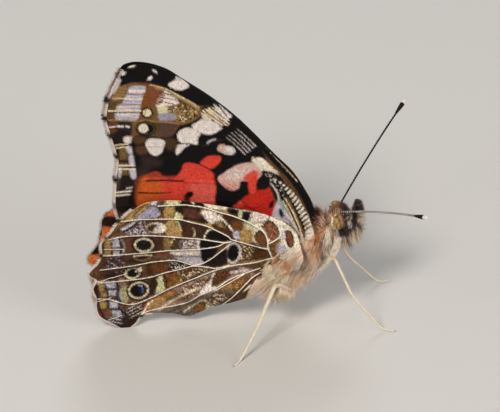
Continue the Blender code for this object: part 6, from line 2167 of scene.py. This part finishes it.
leg_finish = painted_finish("leg scales", 0.55, 0.86, 1.08, 11000.0, 0.45, 0.03)
for leg_name, (corners, femur_radii, tibia_radii, tarsus_radii) in LEG_SHAPES.items():
    for side_name, side in SIDES:
        first, second, third, fourth, fifth = (p * (1, side, 1) for p in bent_path(corners))
        name = f"{leg_name}_{side_name}"
        femur, femur_path = leg_tube("femur", np.vstack([first, second[1:]]), femur_radii, 16)
        shin, shin_path = leg_tube("shin", third, tibia_radii, 16)
        foot, foot_path = leg_tube("foot", np.vstack([fourth, fifth[1:]]), tarsus_radii, 16, FOOT_JOINTS)
        knee = oval_ball("knee", third[0], np.full(3, tibia_radii[0] * 1.18), 20, 14)
        ankle = oval_ball("ankle", third[-1], np.full(3, tarsus_radii[0] * 1.15), 20, 14)
        pieces = [femur, shin, foot, knee, ankle]
        ahead = unit((foot_path[-1] - foot_path[-6])[None])[0]
        for turn in (-1, 1):
            out = np.array((-ahead[1], ahead[0], 0.0)) * turn
            claw = np.array([foot_path[-1] + ahead * 0.10 * t + out * 0.10 * t * (1.3 - 0.45 * t) + (0, 0, 0.02 * t * (1.6 - t))
                             for t in np.linspace(0.3, 2.0, 8)])
            claw[:, 2] = np.maximum(claw[:, 2] - 0.05, 0.03)
            pieces.append(rolled_tube("claw", claw, np.linspace(0.034, 0.012, len(claw)), 10))
        leg = joined(pieces, f"{name}_leg")
        places = places_of(leg)
        colours = np.tile(np.array(LEG_CREAM), (len(places), 1))
        near_knee = np.linalg.norm(places - third[0], axis=1)
        colours += (np.array(LEG_GOLD) - colours) * np.clip(1.1 - near_knee / 0.45, 0, 1)[:, None] * 0.8
        foot_share = np.clip((1.3 - places[:, 2]) / 2.0, 0, 1)[:, None]
        colours += (np.array(LEG_PALE) - colours) * foot_share
        claw_share = np.clip(1.3 - np.linalg.norm(places - foot_path[-1] - ahead * 0.2, axis=1) / 0.16, 0, 1)[:, None]
        colours += (np.array(DARK_BROWN) - colours) * claw_share
        keep_paint(leg, colours)
        dress(leg, leg_finish, "leg_scales", *(f"{name}_{part}" for part in ("femur", "tibia", "tarsus")))
        sets = [spines(shin_path, 46, 0.24, tibia_radii[1] * 0.8, 71), spines(foot_path, 60, 0.15, tarsus_radii[1] * 0.8, 72)]
        roots, ways, ups, lengths, part = (np.concatenate(group) for group in zip(*sets))
        ways[:, 2] = np.maximum(ways[:, 2], -(roots[:, 2] - 0.02) / lengths)
        colours = np.tile(np.array(LEG_GOLD) * 0.7, (len(roots), 1))
        hairs = make_tufts(f"{name}_spines", roots, ways, ups, lengths, np.full(len(roots), 0.035), colours,
                           np.column_stack((0.05 + 0.9 * part, np.linspace(0.05, 0.95, len(roots)))), 0.0, 2, 0.9, 0.9)
        dress(hairs, hair_finish, "leg_scales", f"{name}_tibia", f"{name}_tarsus")

# %% [markdown]
# The upper part of each walking leg and the folded front legs are clothed in short hair.

# %% Leg hair and front legs
def limb_hair(name, path, radius, count, length, ink, seed, nodes, hang=-0.15):
    draw = np.random.default_rng(seed)
    part = draw.uniform(0.02, 0.98, count)
    spots, ahead = at_part(path, part)
    out = unit(np.cross(ahead, draw.normal(0, 1, ahead.shape)))
    roots = spots + out * radius * 0.8
    ways = unit(out * 0.42 + ahead * (1 + 0.7 * min(hang + 0.15, 0)) + np.array((0.3 * (hang + 0.15), 0.0, hang)))
    colours = np.tile(np.array(ink), (count, 1)) * draw.uniform(0.7, 1.15, count)[:, None]
    turn = np.arctan2(out[:, 1], out[:, 2]) / (2 * math.pi) + 0.5
    hairs = make_tufts(name, roots, ways, out, length * draw.uniform(0.7, 1.2, count), np.full(count, 0.07), colours,
                       np.column_stack((0.01 + 0.97 * turn, 0.01 + 0.97 * part)), 0.0, 2, 0.5, 0.8)
    dress(hairs, hair_finish, "leg_scales", *nodes)


for side_name, side in SIDES:
    for leg_name, seed in (("midleg", 81), ("hindleg", 82)):
        first, second = (p * (1, side, 1) for p in bent_path(LEG_SHAPES[leg_name][0])[:2])
        path = evenly(np.vstack([first, second[1:]]), 0.05)
        long_hair = leg_name == "hindleg"
        limb_hair(f"{leg_name}_{side_name}_femur_hair", path[: int(len(path) * 0.92)], LEG_SHAPES[leg_name][1][0],
                  1500 if long_hair else 420, 1.25 if long_hair else 0.42, FUR_CREAM if long_hair else LEG_PALE, seed,
                  (f"{leg_name}_{side_name}_femur",), -0.9 if long_hair else -0.15)
    pieces = [p * (1, side, 1) for p in bent_path(FORELEG)]
    path = evenly(np.vstack([pieces[0]] + [p[1:] for p in pieces[1:]]), 0.05)
    foreleg = rolled_tube(f"foreleg_{side_name}_core", path, eased((0.28, 0.20, 0.17, 0.11), np.linspace(0, 1, len(path))), 16)
    keep_paint(foreleg, np.tile(np.array(CHEEK_WHITE) * 0.7, (len(foreleg.data.vertices), 1)))
    dress(foreleg, leg_finish, "leg_scales", f"foreleg_{side_name}")
    limb_hair(f"foreleg_{side_name}_hair", path, 0.22, 1500, 0.62, CHEEK_WHITE, 83, (f"foreleg_{side_name}",))
